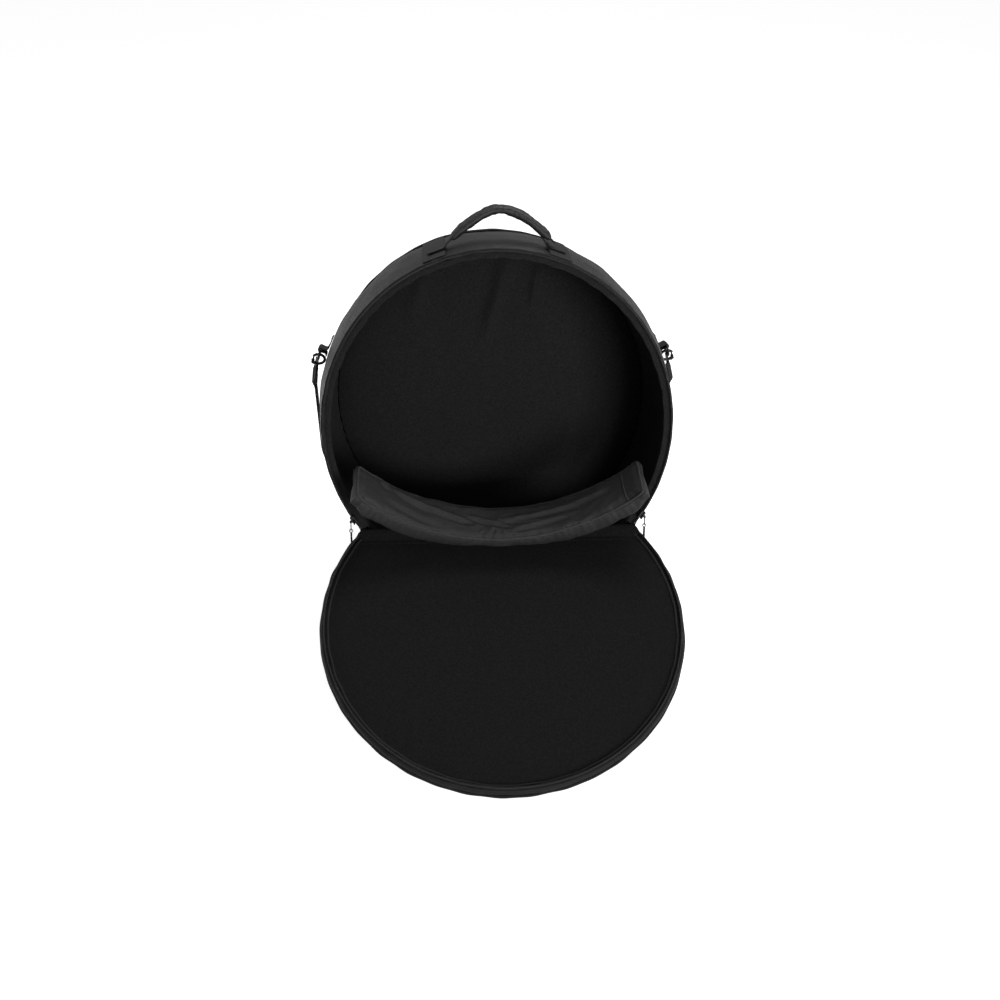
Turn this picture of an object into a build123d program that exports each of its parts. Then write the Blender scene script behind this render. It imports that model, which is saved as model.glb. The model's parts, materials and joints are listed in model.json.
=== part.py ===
from build123d import *
import os
from math import asin, atan, atan2, cos, degrees, radians, sin, sqrt, tan

# Soft round carrying bag for a 22 inch handpan, standing open on the floor.
#
# Everything is modelled in the bag's own frame (X to the right, Y into the bag's depth, Z up in
# the plane of its round front, origin at the middle of the front rim), with the lid closed. The
# lid is then swung open, the whole bag leans back, and it is set down with the middle of its
# footprint at the origin of the final frame: +Z up, front towards -Y, floor at Z = 0.
# All lengths are millimetres and all angles degrees.

# ---------------------------------------------------------------- driving dimensions
RIM_R = 300.0           # outside radius of the bag at its front and back edges
BULGE_R = 312.0         # outside radius half way through the depth, where the gusset bellies out
DEPTH = 250.0           # front rim to back face
FOLD_Z = -180.0         # height of the lid's straight fold below the middle of the disc
COVER_T = 1.5           # outer fabric
FOAM_T = 8.0            # padding
LINING_T = 1.4          # inner fabric
GAP = 0.3               # air between neighbouring layers

LID_OPEN = 127.0        # how far the lid is swung open at rest
LEAN = 16.4            # how far the bag leans back
BEVEL = LID_OPEN - 87.5  # slope of the lid's padded edge along the fold

BOLSTER_CHORD = 490.0   # loose padded bolster lying across the mouth
BOLSTER_W = 103.0
BOLSTER_T = 18.0
BOLSTER_R = 350.0       # bend of its middle surface
BOLSTER_FRONT = 62.0    # how far it stands out in front of the fold

HANDLE_Y = 42.0         # the handle stands near the front of the gusset
HANDLE_SPAN = 170.0
HANDLE_RISE = 53.0
HANDLE_LIFT = 10.0      # height of its sewn ends above the gusset
GRIP_W = 34.0
GRIP_T = 14.0

RING_X = 306.0          # shoulder strap rings: distance from the middle plane
RING_Z = 114.0
RING_R = 20.0           # bend of the D of each ring
WIRE_R = 2.0
STRAP_W = 38.0
STRAP_T = 2.5
HANG = 31.0             # slope of the hanging strap, from the bag's own Z axis
SPLAY = 14.0            # how far the bulging gusset pushes each hook outward

# ---------------------------------------------------------------- sizes that follow
SEAM_Y = -10.0          # plane in which the two rows of zip teeth meet when the bag is shut
HINGE = Pos(0, SEAM_Y, FOLD_Z)
MID_Y = DEPTH / 2
WALL = COVER_T + FOAM_T + LINING_T + 2 * GAP
INNER_R = RIM_R - WALL
LINING_R = INNER_R - GAP
FOLD_ANGLE = degrees(asin(FOLD_Z / RIM_R))
FOLD_HALF = sqrt(RIM_R**2 - FOLD_Z**2)
TAPE = (297.3, 298.5)   # inner and outer radius of both zip tapes
TEETH = (296.4, 299.4)  # inner and outer radius of both rows of teeth
BIG = 900.0             # side of the boxes that cut away half spaces


# ---------------------------------------------------------------- helpers
def block(x0, x1, y0, y1, z0, z1):
    """Box between two corners."""
    return Pos((x0 + x1) / 2, (y0 + y1) / 2, (z0 + z1) / 2) * Box(x1 - x0, y1 - y0, z1 - z0)


def rod(radius, start, end):
    """Round bar between two points."""
    a, b = Vector(*start), Vector(*end)
    return Plane(origin=(a + b) / 2, z_dir=b - a) * Cylinder(radius, (b - a).length)


def section(r0, r1, y0, y1):
    """Rectangle in radius and depth, ready to be swept round the bag's axis."""
    return Pos((r0 + r1) / 2, (y0 + y1) / 2) * Rectangle(r1 - r0, y1 - y0)


def round_section(radius, y, r):
    """Circle in radius and depth."""
    return Pos(radius, y) * Circle(r)


def barrel_section(inset, thick, y0, y1, edge_r, belly_r):
    """Slice of a wall whose outer line bows from edge_r out to belly_r and back."""
    outer, belly = edge_r - inset, belly_r - inset
    middle = (y0 + y1) / 2
    outside = ThreePointArc((outer, y0), (belly, middle), (outer, y1))
    inside = ThreePointArc((outer - thick, y1), (belly - thick, middle), (outer - thick, y0))
    ends = [Line((outer, y1), (outer - thick, y1)), Line((outer - thick, y0), (outer, y0))]
    return make_face([outside, ends[0], inside, ends[1]])


def sweep_round(profile, start=0.0, end=360.0):
    """Sweep a radius and depth profile about the Y axis, from one angle up to another."""
    return Rot(0, -end, 0) * revolve(profile, Axis.Y, end - start)


def above(z):
    return block(-BIG, BIG, -BIG, BIG, z, BIG)


def lid_edge_cut(setback):
    """Everything on the bag's side of the lid's bevelled fold edge."""
    return HINGE * Rot(-BEVEL, 0, 0) * Pos(0, 0, setback - BIG / 2) * Box(BIG, BIG, BIG)


def mirrored(shape):
    return mirror(shape, Plane.YZ)


# ---------------------------------------------------------------- body of the bag
def side_wall(inset, thick, front=0.0):
    return sweep_round(barrel_section(inset, thick, front, DEPTH - 2.0, RIM_R, BULGE_R))


def back_disc(radius, y0, y1):
    return sweep_round(section(0, radius, y0, y1))


def apron(radius, y0, y1):
    """Fixed slice of the round front, below the fold."""
    return sweep_round(section(0, radius, y0, y1)) - above(FOLD_Z - 1.5)


def body_parts():
    foam_back = DEPTH - 2.0
    foam_front = foam_back - FOAM_T
    skirt = sweep_round(section(RIM_R - COVER_T, RIM_R, SEAM_Y + COVER_T, -GAP))
    zip_start = FOLD_ANGLE + 1.2
    zip_end = 180 - zip_start
    stop = sweep_round(section(TEETH[0] - 0.4, TEETH[1] + 0.4, -9.6, -7.2),
                       zip_start - 1.0, zip_start - 0.2)
    return {
        "side_wall_cover": side_wall(0, COVER_T),
        "side_wall_foam": side_wall(COVER_T + GAP, FOAM_T),
        "side_wall_lining": side_wall(COVER_T + FOAM_T + 2 * GAP, LINING_T),
        "back_panel_cover": back_disc(RIM_R, foam_back + GAP, DEPTH),
        "back_panel_foam": back_disc(LINING_R, foam_front, foam_back),
        "back_panel_lining": back_disc(LINING_R, foam_front - GAP - LINING_T, foam_front - GAP),
        "back_piping": sweep_round(round_section(RIM_R + 3.4, DEPTH - 1.0, 3.0)),
        "front_apron_cover": apron(RIM_R, SEAM_Y, SEAM_Y + COVER_T)
        + (skirt - above(FOLD_Z - 1.5)),
        "front_apron_foam": apron(RIM_R - COVER_T - GAP, SEAM_Y + COVER_T + GAP, -GAP),
        "front_apron_lining": apron(LINING_R, 0, LINING_T),
        "rim_binding": sweep_round(section(INNER_R - 1.5, RIM_R + 0.8, -2.2, -0.2),
                                   zip_start, zip_end),
        "body_zip_tape": sweep_round(section(*TAPE, -7.2, -2.4), zip_start, zip_end),
        "body_zip_teeth": sweep_round(section(*TEETH, -9.4, -7.4), zip_start, zip_end),
        "zip_end_stops": Compound([stop, mirrored(stop)]),
    }


# ---------------------------------------------------------------- lid, drawn shut
LID_LINING_Y = SEAM_Y - 12.0
LID_FOAM_Y = LID_LINING_Y - LINING_T - GAP
LID_COVER_Y = LID_FOAM_Y - FOAM_T - GAP
LID_TAPE_Y = SEAM_Y - 7.6
LID_R = RIM_R - COVER_T - 2 * GAP


def lid_parts():
    start = FOLD_ANGLE - 8
    end = 180 - start
    edge = lid_edge_cut(3.0)
    panel = HINGE * Rot(-BEVEL, 0, 0) * block(-FOLD_HALF, FOLD_HALF, -28.0, -3.0, 1.2, 2.4)
    shapes = {
        "lid_cover": sweep_round(section(0, RIM_R, LID_COVER_Y - COVER_T, LID_COVER_Y)),
        "lid_foam": sweep_round(section(0, LID_R, LID_FOAM_Y - FOAM_T, LID_FOAM_Y)),
        "lid_lining": sweep_round(section(0, LID_R, LID_LINING_Y - LINING_T, LID_LINING_Y)),
        "lid_lining_piping": sweep_round(round_section(292.0, LID_LINING_Y + 2.3, 2.0), start, end),
        "lid_side_band": sweep_round(barrel_section(0, COVER_T, LID_COVER_Y + GAP,
                                                    LID_TAPE_Y - GAP, RIM_R + 0.8, RIM_R + 4.5)),
        "lid_piping": sweep_round(round_section(RIM_R + 3.8, LID_COVER_Y - 1.2, 2.4), start, end),
        "lid_zip_tape": sweep_round(section(*TAPE, LID_TAPE_Y, SEAM_Y - 2.8), start, end),
        "lid_zip_teeth": sweep_round(section(*TEETH, SEAM_Y - 2.6, SEAM_Y - 0.6), start, end),
    }
    shapes = {name: shape - edge for name, shape in shapes.items()}
    shapes["hinge_panel"] = panel
    return shapes


LID_SWING = HINGE * Rot(LID_OPEN, 0, 0) * HINGE.inverse()


# ---------------------------------------------------------------- zip sliders and their pullers
SLIDER_ANGLE = FOLD_ANGLE + 4.2
SLIDER_LENGTH = 14.0
PIN_RISE = 4.6          # puller pin above the tooth line's outside
PULLER_PIN = Rot(0, -SLIDER_ANGLE, 0) * Pos(RIM_R + PIN_RISE, SEAM_Y, 0)


def slider_parts():
    """Right-hand slider and puller. The slider's neck runs between the two rows of teeth."""
    half = SLIDER_LENGTH / 2
    plates = block(294.2, 295.8, SEAM_Y - 4.5, SEAM_Y + 4.5, -half, half)
    plates += block(300.0, 301.8, SEAM_Y - 4.5, SEAM_Y + 4.5, -half, half)
    neck = block(295.6, 300.2, SEAM_Y - 0.3, SEAM_Y + 0.3, 1.0, half)
    lug = block(301.6, RIM_R + PIN_RISE + 1.6, SEAM_Y + 2.8, SEAM_Y + 4.0, -1.8, 1.8)
    lugs = lug + Pos(0, -6.8, 0) * lug
    pin_x = RIM_R + PIN_RISE
    pin = rod(0.8, (pin_x, SEAM_Y - 3.4, 0), (pin_x, SEAM_Y + 3.4, 0))
    slider = Rot(0, -SLIDER_ANGLE, 0) * (plates + neck + lugs + pin)

    # The puller hangs straight down the bag's front from its pin.
    eye = Rot(90, 0, 0) * (Cylinder(2.0, 4.6) - Cylinder(0.85, 6.0))
    tab = block(-0.7, 0.7, -2.3, 2.3, -16.0, -1.6) - rod(1.2, (-2, 0, -13.6), (2, 0, -13.6))
    tab -= block(-0.75, 0.75, -1.2, 1.2, -13.6, -12.2)
    tag_loop = Pos(0, 0, -16.2) * Rot(90, 0, 0) * Torus(2.9, 0.7)
    tag = block(-1.6, 1.6, -2.6, 2.6, -38.0, -19.4)
    tag = fillet(tag.edges().filter_by(Axis.Z), 1.0)
    hang = Pos(PULLER_PIN.position)
    return {
        "zip_slider_right": slider,
        "puller_right": hang * (eye + tab),
        "puller_tag_right": hang * (tag + tag_loop),
    }


# ---------------------------------------------------------------- bolster, drawn about the fold
def bend_section(thick, width):
    """Rounded bolster section at the bolster's bend radius."""
    corner = thick / 2 - 0.6
    y = (BOLSTER_W / 2) - BOLSTER_FRONT
    return Pos(BOLSTER_R, y) * RectangleRounded(thick, width, corner)


def bend_sweep(profile, half_angle, base):
    """Sweep a section round the bolster's bend, whose lowest point is straight under its axis."""
    lift = BOLSTER_R + BOLSTER_T / 2 + base
    return Pos(0, 0, lift) * sweep_round(profile, -90 - half_angle, -90 + half_angle)


def bolster_parts():
    """Bolster in the final directions, with the fold line at the origin."""
    base = 1.0
    half_angle = degrees(asin(BOLSTER_CHORD / 2 / BOLSTER_R))
    skin = 1.4
    skin_angle = degrees(skin / BOLSTER_R)
    shell = bend_sweep(bend_section(BOLSTER_T, BOLSTER_W), half_angle, base)
    hollow = bend_sweep(bend_section(BOLSTER_T - 2 * skin, BOLSTER_W - 2 * skin),
                        half_angle - skin_angle, base)
    inside = BOLSTER_T - 2 * skin - 2 * GAP
    foam = bend_sweep(bend_section(inside, BOLSTER_W - 2 * skin - 2 * GAP),
                      half_angle - 2 * skin_angle, base)
    return {"bolster_cover": shell - hollow, "bolster_foam": foam}


# ---------------------------------------------------------------- carry handle
def wall_radius(y):
    """Outside radius of the bowed gusset at a depth, taking the bow as a parabola."""
    return BULGE_R - (BULGE_R - RIM_R) * ((y - MID_Y) / MID_Y)**2


HANDLE_FOOT_Z = sqrt(wall_radius(HANDLE_Y)**2 - (HANDLE_SPAN / 2)**2)
HANDLE_BASE_Z = HANDLE_FOOT_Z + HANDLE_LIFT
HANDLE_R = ((HANDLE_SPAN / 2)**2 + HANDLE_RISE**2) / (2 * HANDLE_RISE)
HANDLE_TOP_ANGLE = degrees(asin(HANDLE_SPAN / 2 / HANDLE_R))


def handle_parts():
    """Webbing core, foam and sewn sleeve of the arched handle."""
    centre = Pos(0, 0, HANDLE_BASE_Z + HANDLE_RISE - HANDLE_R)

    def arch(radial, width, half_angle):
        corner = min(radial, width) * 0.42
        profile = Pos(HANDLE_R, HANDLE_Y) * RectangleRounded(radial, width, corner)
        return centre * sweep_round(profile, 90 - half_angle, 90 + half_angle)

    skin = 1.2
    core_t = 2.4
    core_w = GRIP_W - 10.0
    grip_angle = HANDLE_TOP_ANGLE * 0.9
    webbing = arch(core_t, core_w, HANDLE_TOP_ANGLE - 1.5)
    foam = arch(GRIP_T - 2 * skin - 2 * GAP, GRIP_W - 2 * skin - 2 * GAP, grip_angle - 0.5)
    foam -= arch(core_t + 2 * GAP, core_w + 2 * GAP, grip_angle + 1)
    sleeve = arch(GRIP_T, GRIP_W, grip_angle)
    sleeve -= arch(GRIP_T - 2 * skin, GRIP_W - 2 * skin, grip_angle + 1)
    return {"handle_webbing": webbing, "handle_foam": foam, "handle_sleeve": sleeve}


def patch_parts():
    """Two webbing bands across the gusset and the tack under each end of the handle."""
    inner = HANDLE_SPAN / 2 - 4
    band = side_wall(-2.4, 2.0) & block(inner, inner + 44.0, 6.0, DEPTH - 8.0, 0, BIG)
    tack = block(HANDLE_SPAN / 2 - 4, HANDLE_SPAN / 2 + 2, HANDLE_Y - 6, HANDLE_Y + 6,
                 HANDLE_FOOT_Z - 2, HANDLE_BASE_Z - 1.6)
    tack -= side_wall(-2.0, FOAM_T + 4.0)
    side = band + tack
    return {"handle_patches": Compound([side, mirrored(side)])}


# ---------------------------------------------------------------- shoulder strap and hardware
RING_CENTRE = Pos(RING_X, MID_Y, RING_Z)
STRAP_LINE = Pos(0, MID_Y, RING_Z) * Rot(HANG, 0, 0)   # hanging frame, on the line through the rings
HOOK_LINE = Pos(RING_X, 0, 0) * Rot(0, -SPLAY, 0)      # right hook's line in the hanging frame
RING_SPLAY = degrees(atan(tan(radians(SPLAY)) / cos(radians(HANG))))
HOOK_R = 11.0
HOOK_WIRE = 2.5
HOOK_Z = -(RING_R - WIRE_R) + GAP - (HOOK_R - HOOK_WIRE)
GATE_ANGLE = 35.0
GATE_X = HOOK_R * cos(radians(GATE_ANGLE))
GATE_Z = HOOK_R * sin(radians(GATE_ANGLE))
POST_R = 2.5
EYE_TOP_Z = HOOK_Z - HOOK_R - HOOK_WIRE - 2.0
EYE_HEIGHT = 24.0
EYE_HALF_W = STRAP_W / 2 + 1.5
BAR_R = 2.5
EYE_BAR_Z = EYE_TOP_Z - EYE_HEIGHT
PIN_CLEARANCE = 0.06    # radial play of every bore on its pin
LEG_X = RING_X - EYE_BAR_Z * sin(radians(SPLAY))
LEG_TOP_Z = EYE_BAR_Z * cos(radians(SPLAY))


def ring_parts():
    """Tab of folded webbing and the D ring that swings in it, on the right."""
    angle = degrees(atan2(RING_Z, RING_X))
    tab_end = sqrt(RING_X**2 + RING_Z**2)
    half = STRAP_W / 2 - 1.5
    tab = block(BULGE_R + 0.6, tab_end - 3.0, MID_Y - half, MID_Y + half, -1.6, 1.6)
    root_down = 8.0
    root_up = 28.0
    root = side_wall(-2.2, 1.8) & block(0, BIG, MID_Y - half, MID_Y + half, -root_down, root_up)
    tab = Rot(0, -angle, 0) * (tab + root)
    loop = RING_CENTRE * Rot(90, 0, 0) * Cylinder(4.2, 2 * half)
    hole = RING_CENTRE * Rot(90, 0, 0) * Cylinder(WIRE_R + PIN_CLEARANCE, 4 * half)
    ring = Rot(0, 0, 90) * sweep_round(Pos(RING_R, 0) * Circle(WIRE_R), 180, 360)
    ring += rod(WIRE_R, (0, -RING_R, 0), (0, RING_R, 0))
    for y in (-RING_R, RING_R):
        ring += Pos(0, y, 0) * Sphere(WIRE_R)
    return {
        "ring_tab_right": (tab + loop) - hole,
        "ring_right": RING_CENTRE * Rot(0, -RING_SPLAY, 0) * ring,
    }


def hook_parts():
    """Snap hook, gate and gate spring of the right side, drawn hanging from the ring's line."""
    loop = Rot(90, 0, 0) * Torus(HOOK_R, HOOK_WIRE)
    mouth = block(GATE_X - 3.4, BIG, -9, 9, -GATE_Z - 2.8, GATE_Z)
    cheek = Pos(GATE_X, 0, -GATE_Z) * Rot(90, 0, 0)
    cheeks = cheek * (Pos(0, 0, 3.0) * Cylinder(3.0, 1.2) + Pos(0, 0, -3.0) * Cylinder(3.0, 1.2))
    pin_r = 1.0
    pin = cheek * Cylinder(pin_r, 6.4)
    bridge = block(GATE_X - 5.0, GATE_X, -3.6, 3.6, -GATE_Z - 4.6, -GATE_Z - 2.6)
    post_end = EYE_TOP_Z - HOOK_Z - 8.0
    post = rod(POST_R, (0, 0, -HOOK_R), (0, 0, post_end))
    head = rod(4.0, (0, 0, post_end), (0, 0, post_end - 2.4))
    hook = (loop - mouth) + cheeks + pin + bridge + post + head

    knuckle = cheek * (Cylinder(2.4, 2.2) - Cylinder(pin_r + PIN_CLEARANCE, 3.0))
    arm = rod(1.5, (GATE_X, 0, -GATE_Z + 2.0), (GATE_X, 0, GATE_Z - 0.6))
    gate = knuckle + arm
    turns = [cheek * Pos(0, 0, y) * Torus(1.5, 0.3) for y in (-1.9, 1.9)]
    place = STRAP_LINE * HOOK_LINE * Pos(0, 0, HOOK_Z)
    return {
        "hook_right": place * hook,
        "gate_right": place * gate,
        "gate_spring_right": Compound([place * turn for turn in turns]),
    }


def swivel_eye():
    """Frame at each strap end, holding the hook's post above and the webbing below."""
    eye = block(-2.5, 2.5, -EYE_HALF_W - 4, EYE_HALF_W + 4, EYE_BAR_Z - 2.5, EYE_TOP_Z)
    eye = fillet(eye.edges().filter_by(Axis.X), 3.0)
    window = block(-4, 4, -EYE_HALF_W, EYE_HALF_W, EYE_BAR_Z + 2.5, EYE_TOP_Z - 6.0)
    bore = rod(POST_R + PIN_CLEARANCE, (0, 0, EYE_TOP_Z + 1), (0, 0, EYE_TOP_Z - 7))
    lower = block(-4, 4, -EYE_HALF_W, EYE_HALF_W, EYE_BAR_Z - 4, EYE_BAR_Z + 4)
    bar = rod(BAR_R, (0, -EYE_HALF_W - 1, EYE_BAR_Z), (0, EYE_HALF_W + 1, EYE_BAR_Z))
    return (eye - window - bore - lower) + bar


def strap_outline(offset, half_width):
    """Solid U: straight legs below the hooks, joined by half an ellipse at the bottom."""
    half = LEG_X + offset
    legs = Pos(0, (LEG_TOP_Z + LEG_END_Z) / 2) * Rectangle(2 * half, LEG_TOP_Z - LEG_END_Z)
    bowl = Pos(0, LEG_END_Z) * Ellipse(half, BOWL_DROP + offset)
    bowl &= Pos(0, LEG_END_Z - BIG / 2) * Rectangle(2 * BIG, BIG)
    return extrude(Plane.XZ * (legs + bowl), half_width, both=True)


PAD_HALF_W = 30.0
PAD_HALF_LENGTH = 150.0
PAD_OUT = 6.0


def frame_lift():
    """Height of the fold above the floor: the bag stands on its lower back edge."""
    edge = Rot(-LEAN, 0, 0) * Pos(0, DEPTH + 2.0 - SEAM_Y, -RIM_R - 3.4 - FOLD_Z)
    return -edge.position.Z + 0.6


LEAN_BACK = Pos(0, 0, frame_lift()) * Rot(-LEAN, 0, 0) * HINGE.inverse()
RING_HEIGHT = (LEAN_BACK * RING_CENTRE).position.Z
STRAP_SLOPE = HANG - LEAN
STRAP_REACH = ((RING_HEIGHT - PAD_HALF_W * sin(radians(STRAP_SLOPE)) + 1.4)
               / cos(radians(STRAP_SLOPE)) - PAD_OUT)
BOWL_DROP = 210.0
LEG_END_Z = -(STRAP_REACH - BOWL_DROP)
ADJUSTER_Z = LEG_TOP_Z - 60.0


def strap_parts():
    half = STRAP_W / 2
    webbing = strap_outline(STRAP_T / 2, half) - strap_outline(-STRAP_T / 2, half + 1)
    webbing -= block(-BIG, BIG, -BIG, BIG, LEG_TOP_Z - 3.4, BIG)
    loop = Cylinder(4.6, STRAP_W) - Cylinder(BAR_R + PIN_CLEARANCE, STRAP_W + 2)
    loop = Pos(LEG_X, 0, LEG_TOP_Z) * Rot(90, 0, 0) * loop
    webbing = webbing + loop + mirrored(loop)
    pad_zone = block(-PAD_HALF_LENGTH, PAD_HALF_LENGTH, -BIG, BIG, -BIG, LEG_END_Z - 20)
    pad = strap_outline(PAD_OUT, PAD_HALF_W) - strap_outline(-PAD_OUT, PAD_HALF_W + 1)
    clear = STRAP_T / 2 + GAP
    slot = strap_outline(clear, half + GAP) - strap_outline(-clear, half + 1)
    pad = (pad & pad_zone) - slot

    bars = block(-3.4, 3.4, -half - 5, half + 5, -14, 14)
    bars -= block(-4, 4, -half - 0.6, half + 0.6, -11, 11)
    bars -= block(-clear, clear, -half - 0.6, half + 0.6, -15, 15)
    for x in (-2.6, 2.6):
        bars += rod(1.0, (x, -half - 1, 0), (x, half + 1, 0))
    eye = HOOK_LINE * swivel_eye()
    return {
        "strap_webbing": STRAP_LINE * webbing,
        "shoulder_pad": STRAP_LINE * pad,
        "swivel_eye_right": STRAP_LINE * eye,
        "swivel_eye_left": STRAP_LINE * mirrored(eye),
        "strap_adjuster": STRAP_LINE * Pos(LEG_X, 0, ADJUSTER_Z) * bars,
    }


# ---------------------------------------------------------------- put it all together
def with_left(shapes):
    """Add the left-hand twin of every right-hand shape."""
    left = {name.replace("right", "left"): mirrored(shape) for name, shape in shapes.items()}
    return {**shapes, **left}


def all_parts():
    """Every sub-part in the final directions, with the fold line above the origin."""
    in_bag = {**body_parts(), **patch_parts(), **handle_parts(), **strap_parts()}
    in_bag.update({name: LID_SWING * shape for name, shape in lid_parts().items()})
    for group in (slider_parts(), ring_parts(), hook_parts()):
        in_bag.update(with_left(group))
    placed = {name: LEAN_BACK * shape for name, shape in in_bag.items()}
    fold = Pos(0, 0, frame_lift())
    placed.update({name: fold * shape for name, shape in bolster_parts().items()})
    return placed


PARTS = all_parts()
BOUNDS = Compound(list(PARTS.values())).bounding_box()
SET_DOWN = Pos(0, -BOUNDS.center().Y, -BOUNDS.min.Z)

os.makedirs("parts", exist_ok=True)
for node, solid in PARTS.items():
    export_step(SET_DOWN * solid, f"parts/{node}.step")
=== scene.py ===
"""Looks of a round soft handpan bag that stands open: lid folded down on the floor, bolster across its mouth.

Lengths are metres. Most pieces are drawn in the bag's own frame (X right, Y into the depth, Z up the
round front, origin at the middle of the round in the plane of the zip) or, for the lid, in that frame
with the lid shut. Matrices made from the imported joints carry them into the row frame.
"""

import json
import math

import bmesh
import bpy
import numpy as np
from mathutils import Matrix, Vector
from mathutils.bvhtree import BVHTree


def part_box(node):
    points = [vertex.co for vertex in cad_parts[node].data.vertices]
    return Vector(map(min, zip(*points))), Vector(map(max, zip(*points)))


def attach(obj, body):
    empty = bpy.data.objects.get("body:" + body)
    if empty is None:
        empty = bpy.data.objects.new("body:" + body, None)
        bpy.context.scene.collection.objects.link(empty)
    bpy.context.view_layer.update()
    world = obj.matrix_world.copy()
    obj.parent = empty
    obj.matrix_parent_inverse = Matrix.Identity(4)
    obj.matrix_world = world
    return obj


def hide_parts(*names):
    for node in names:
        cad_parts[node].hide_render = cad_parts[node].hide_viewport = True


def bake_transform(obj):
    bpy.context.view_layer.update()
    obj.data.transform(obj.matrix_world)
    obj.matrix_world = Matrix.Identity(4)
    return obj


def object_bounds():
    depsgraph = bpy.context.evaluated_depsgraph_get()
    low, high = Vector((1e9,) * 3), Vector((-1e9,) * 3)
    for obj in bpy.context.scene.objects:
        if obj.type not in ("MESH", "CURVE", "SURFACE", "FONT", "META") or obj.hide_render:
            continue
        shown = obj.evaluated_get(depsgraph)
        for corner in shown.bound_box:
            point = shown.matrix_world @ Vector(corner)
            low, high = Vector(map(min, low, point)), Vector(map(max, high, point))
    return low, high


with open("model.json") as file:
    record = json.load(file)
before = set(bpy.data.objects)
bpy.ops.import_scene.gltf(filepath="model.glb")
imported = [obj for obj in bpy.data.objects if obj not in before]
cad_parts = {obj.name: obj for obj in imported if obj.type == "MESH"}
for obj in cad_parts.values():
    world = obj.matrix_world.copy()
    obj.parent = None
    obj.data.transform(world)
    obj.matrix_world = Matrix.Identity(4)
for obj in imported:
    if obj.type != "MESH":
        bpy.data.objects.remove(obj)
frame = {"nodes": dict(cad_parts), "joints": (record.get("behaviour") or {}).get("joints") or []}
cad_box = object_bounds()
JOINTS = {joint["name"]: joint for joint in frame["joints"]}
TAU = 2 * math.pi


# ------------------------------------------------------------------ frames taken from the joints
def bag_frame():
    """Matrix from the bag's own frame to the row frame: the zip sliders turn about its Y axis."""
    run = JOINTS["zip_slider_right_run"]
    right = Vector((1, 0, 0))
    depth = -Vector(run["axis"]).normalized()
    up = right.cross(depth)
    return Matrix.Translation(run["pos_m"]) @ Matrix((right, depth, up)).transposed().to_4x4()


BAG = bag_frame()
HINGE = BAG.inverted() @ Vector(JOINTS["lid_hinge"]["pos_m"])
LID_OPEN = math.radians(JOINTS["lid_hinge"]["range_deg"][1])
BEVEL = LID_OPEN - math.radians(87.5)
TO_HINGE = Matrix.Translation(HINGE)
LID = BAG @ TO_HINGE @ Matrix.Rotation(LID_OPEN, 4, "X") @ TO_HINGE.inverted()


def local_box(node, matrix):
    """Lowest and highest corner of a CAD node in a frame of this script."""
    back = matrix.inverted()
    points = np.array([back @ v.co for v in frame["nodes"][node].data.vertices])
    return points.min(0), points.max(0)


def half_width(node):
    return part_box(node)[1].x


RIM_R = half_width("back_panel_cover")
BELLY_R = half_width("side_wall_cover")
LINING_R = half_width("back_panel_lining")
FOLD_Z = HINGE.z
FOLD_ANGLE = math.asin(FOLD_Z / RIM_R)
FRONT_Y, WALL_BACK_Y = (corner[1] for corner in local_box("side_wall_cover", BAG))
BACK_Y = local_box("back_panel_cover", BAG)[1][1]
BACK_LINING_Y = local_box("back_panel_lining", BAG)[0][1]
LID_FACE_Y = local_box("lid_cover", LID)[0][1]
LID_LINING_Y = local_box("lid_lining", LID)[1][1]
ARC_START = FOLD_ANGLE + math.radians(1.2)
ARC_END = math.pi - ARC_START
FOLD_SETBACK = 0.003       # how far the lid's bevelled edge stays clear of the hinge line
OUTER_CLOTH = 0.0015       # thickness of the outer nylon
LINING_CLOTH = 0.0012      # thickness of the fleece
WEB_HALF = 0.0125          # half width of the handle's webbing
TAB_HALF = 0.0175          # half width of the ring tabs' webbing

HANDLE_LOW, HANDLE_HIGH = local_box("handle_webbing", BAG)
HANDLE_Y = (HANDLE_LOW[1] + HANDLE_HIGH[1]) / 2
HANDLE_HALF = HANDLE_HIGH[0]
PIVOT_Z = (BAG.inverted() @ Vector(JOINTS["handle_swing"]["pos_m"])).z


def lid_low(y):
    """Height at which the lid's bevelled fold edge lies at a depth."""
    return FOLD_Z + (FOLD_SETBACK - y * math.sin(BEVEL)) / math.cos(BEVEL)


def lid_start(radius, y):
    """Angle at which that edge cuts a ring of this radius and depth."""
    return math.asin(lid_low(y) / radius)


# ------------------------------------------------------------------ numbers that look like cloth
def waves(points, seed, length, count=12):
    """Smooth repeatable noise of about unit height: crossing waves through points (..., 3)."""
    rng = np.random.default_rng(seed)
    total = np.zeros(points.shape[:-1])
    for _ in range(count):
        heading = rng.normal(size=3)
        heading /= np.linalg.norm(heading)
        wavelength = length * rng.uniform(0.6, 1.7)
        total += np.sin(points @ heading * TAU / wavelength + rng.uniform(0, TAU))
    return total / math.sqrt(count / 2) / 1.6


def around(angle, seed, low, high, count=9):
    """Noise of about unit height round a closed ring, with whole numbers of waves from low to high."""
    rng = np.random.default_rng(seed)
    total = np.zeros_like(angle)
    for _ in range(count):
        total += np.sin(angle * rng.integers(low, high) + rng.uniform(0, TAU))
    return total / math.sqrt(count / 2) / 1.6


def crease(a, b, start, end, width):
    """Height 0 to 1 of a fold along the segment start to end, over flat coordinates a and b."""
    ax, ay = start
    bx, by = end
    dx, dy = bx - ax, by - ay
    t = np.clip(((a - ax) * dx + (b - ay) * dy) / (dx * dx + dy * dy), 0, 1)
    gap = np.hypot(a - ax - t * dx, b - ay - t * dy)
    taper = np.sin(np.clip(t, 0.02, 0.98) * math.pi) ** 0.5
    return np.exp(-(gap / width) ** 2) * taper


def creases(a, b, rows):
    """Sum of folds, each row (depth, start, end, width)."""
    return sum(depth * crease(a, b, start, end, width) for depth, start, end, width in rows)


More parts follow.
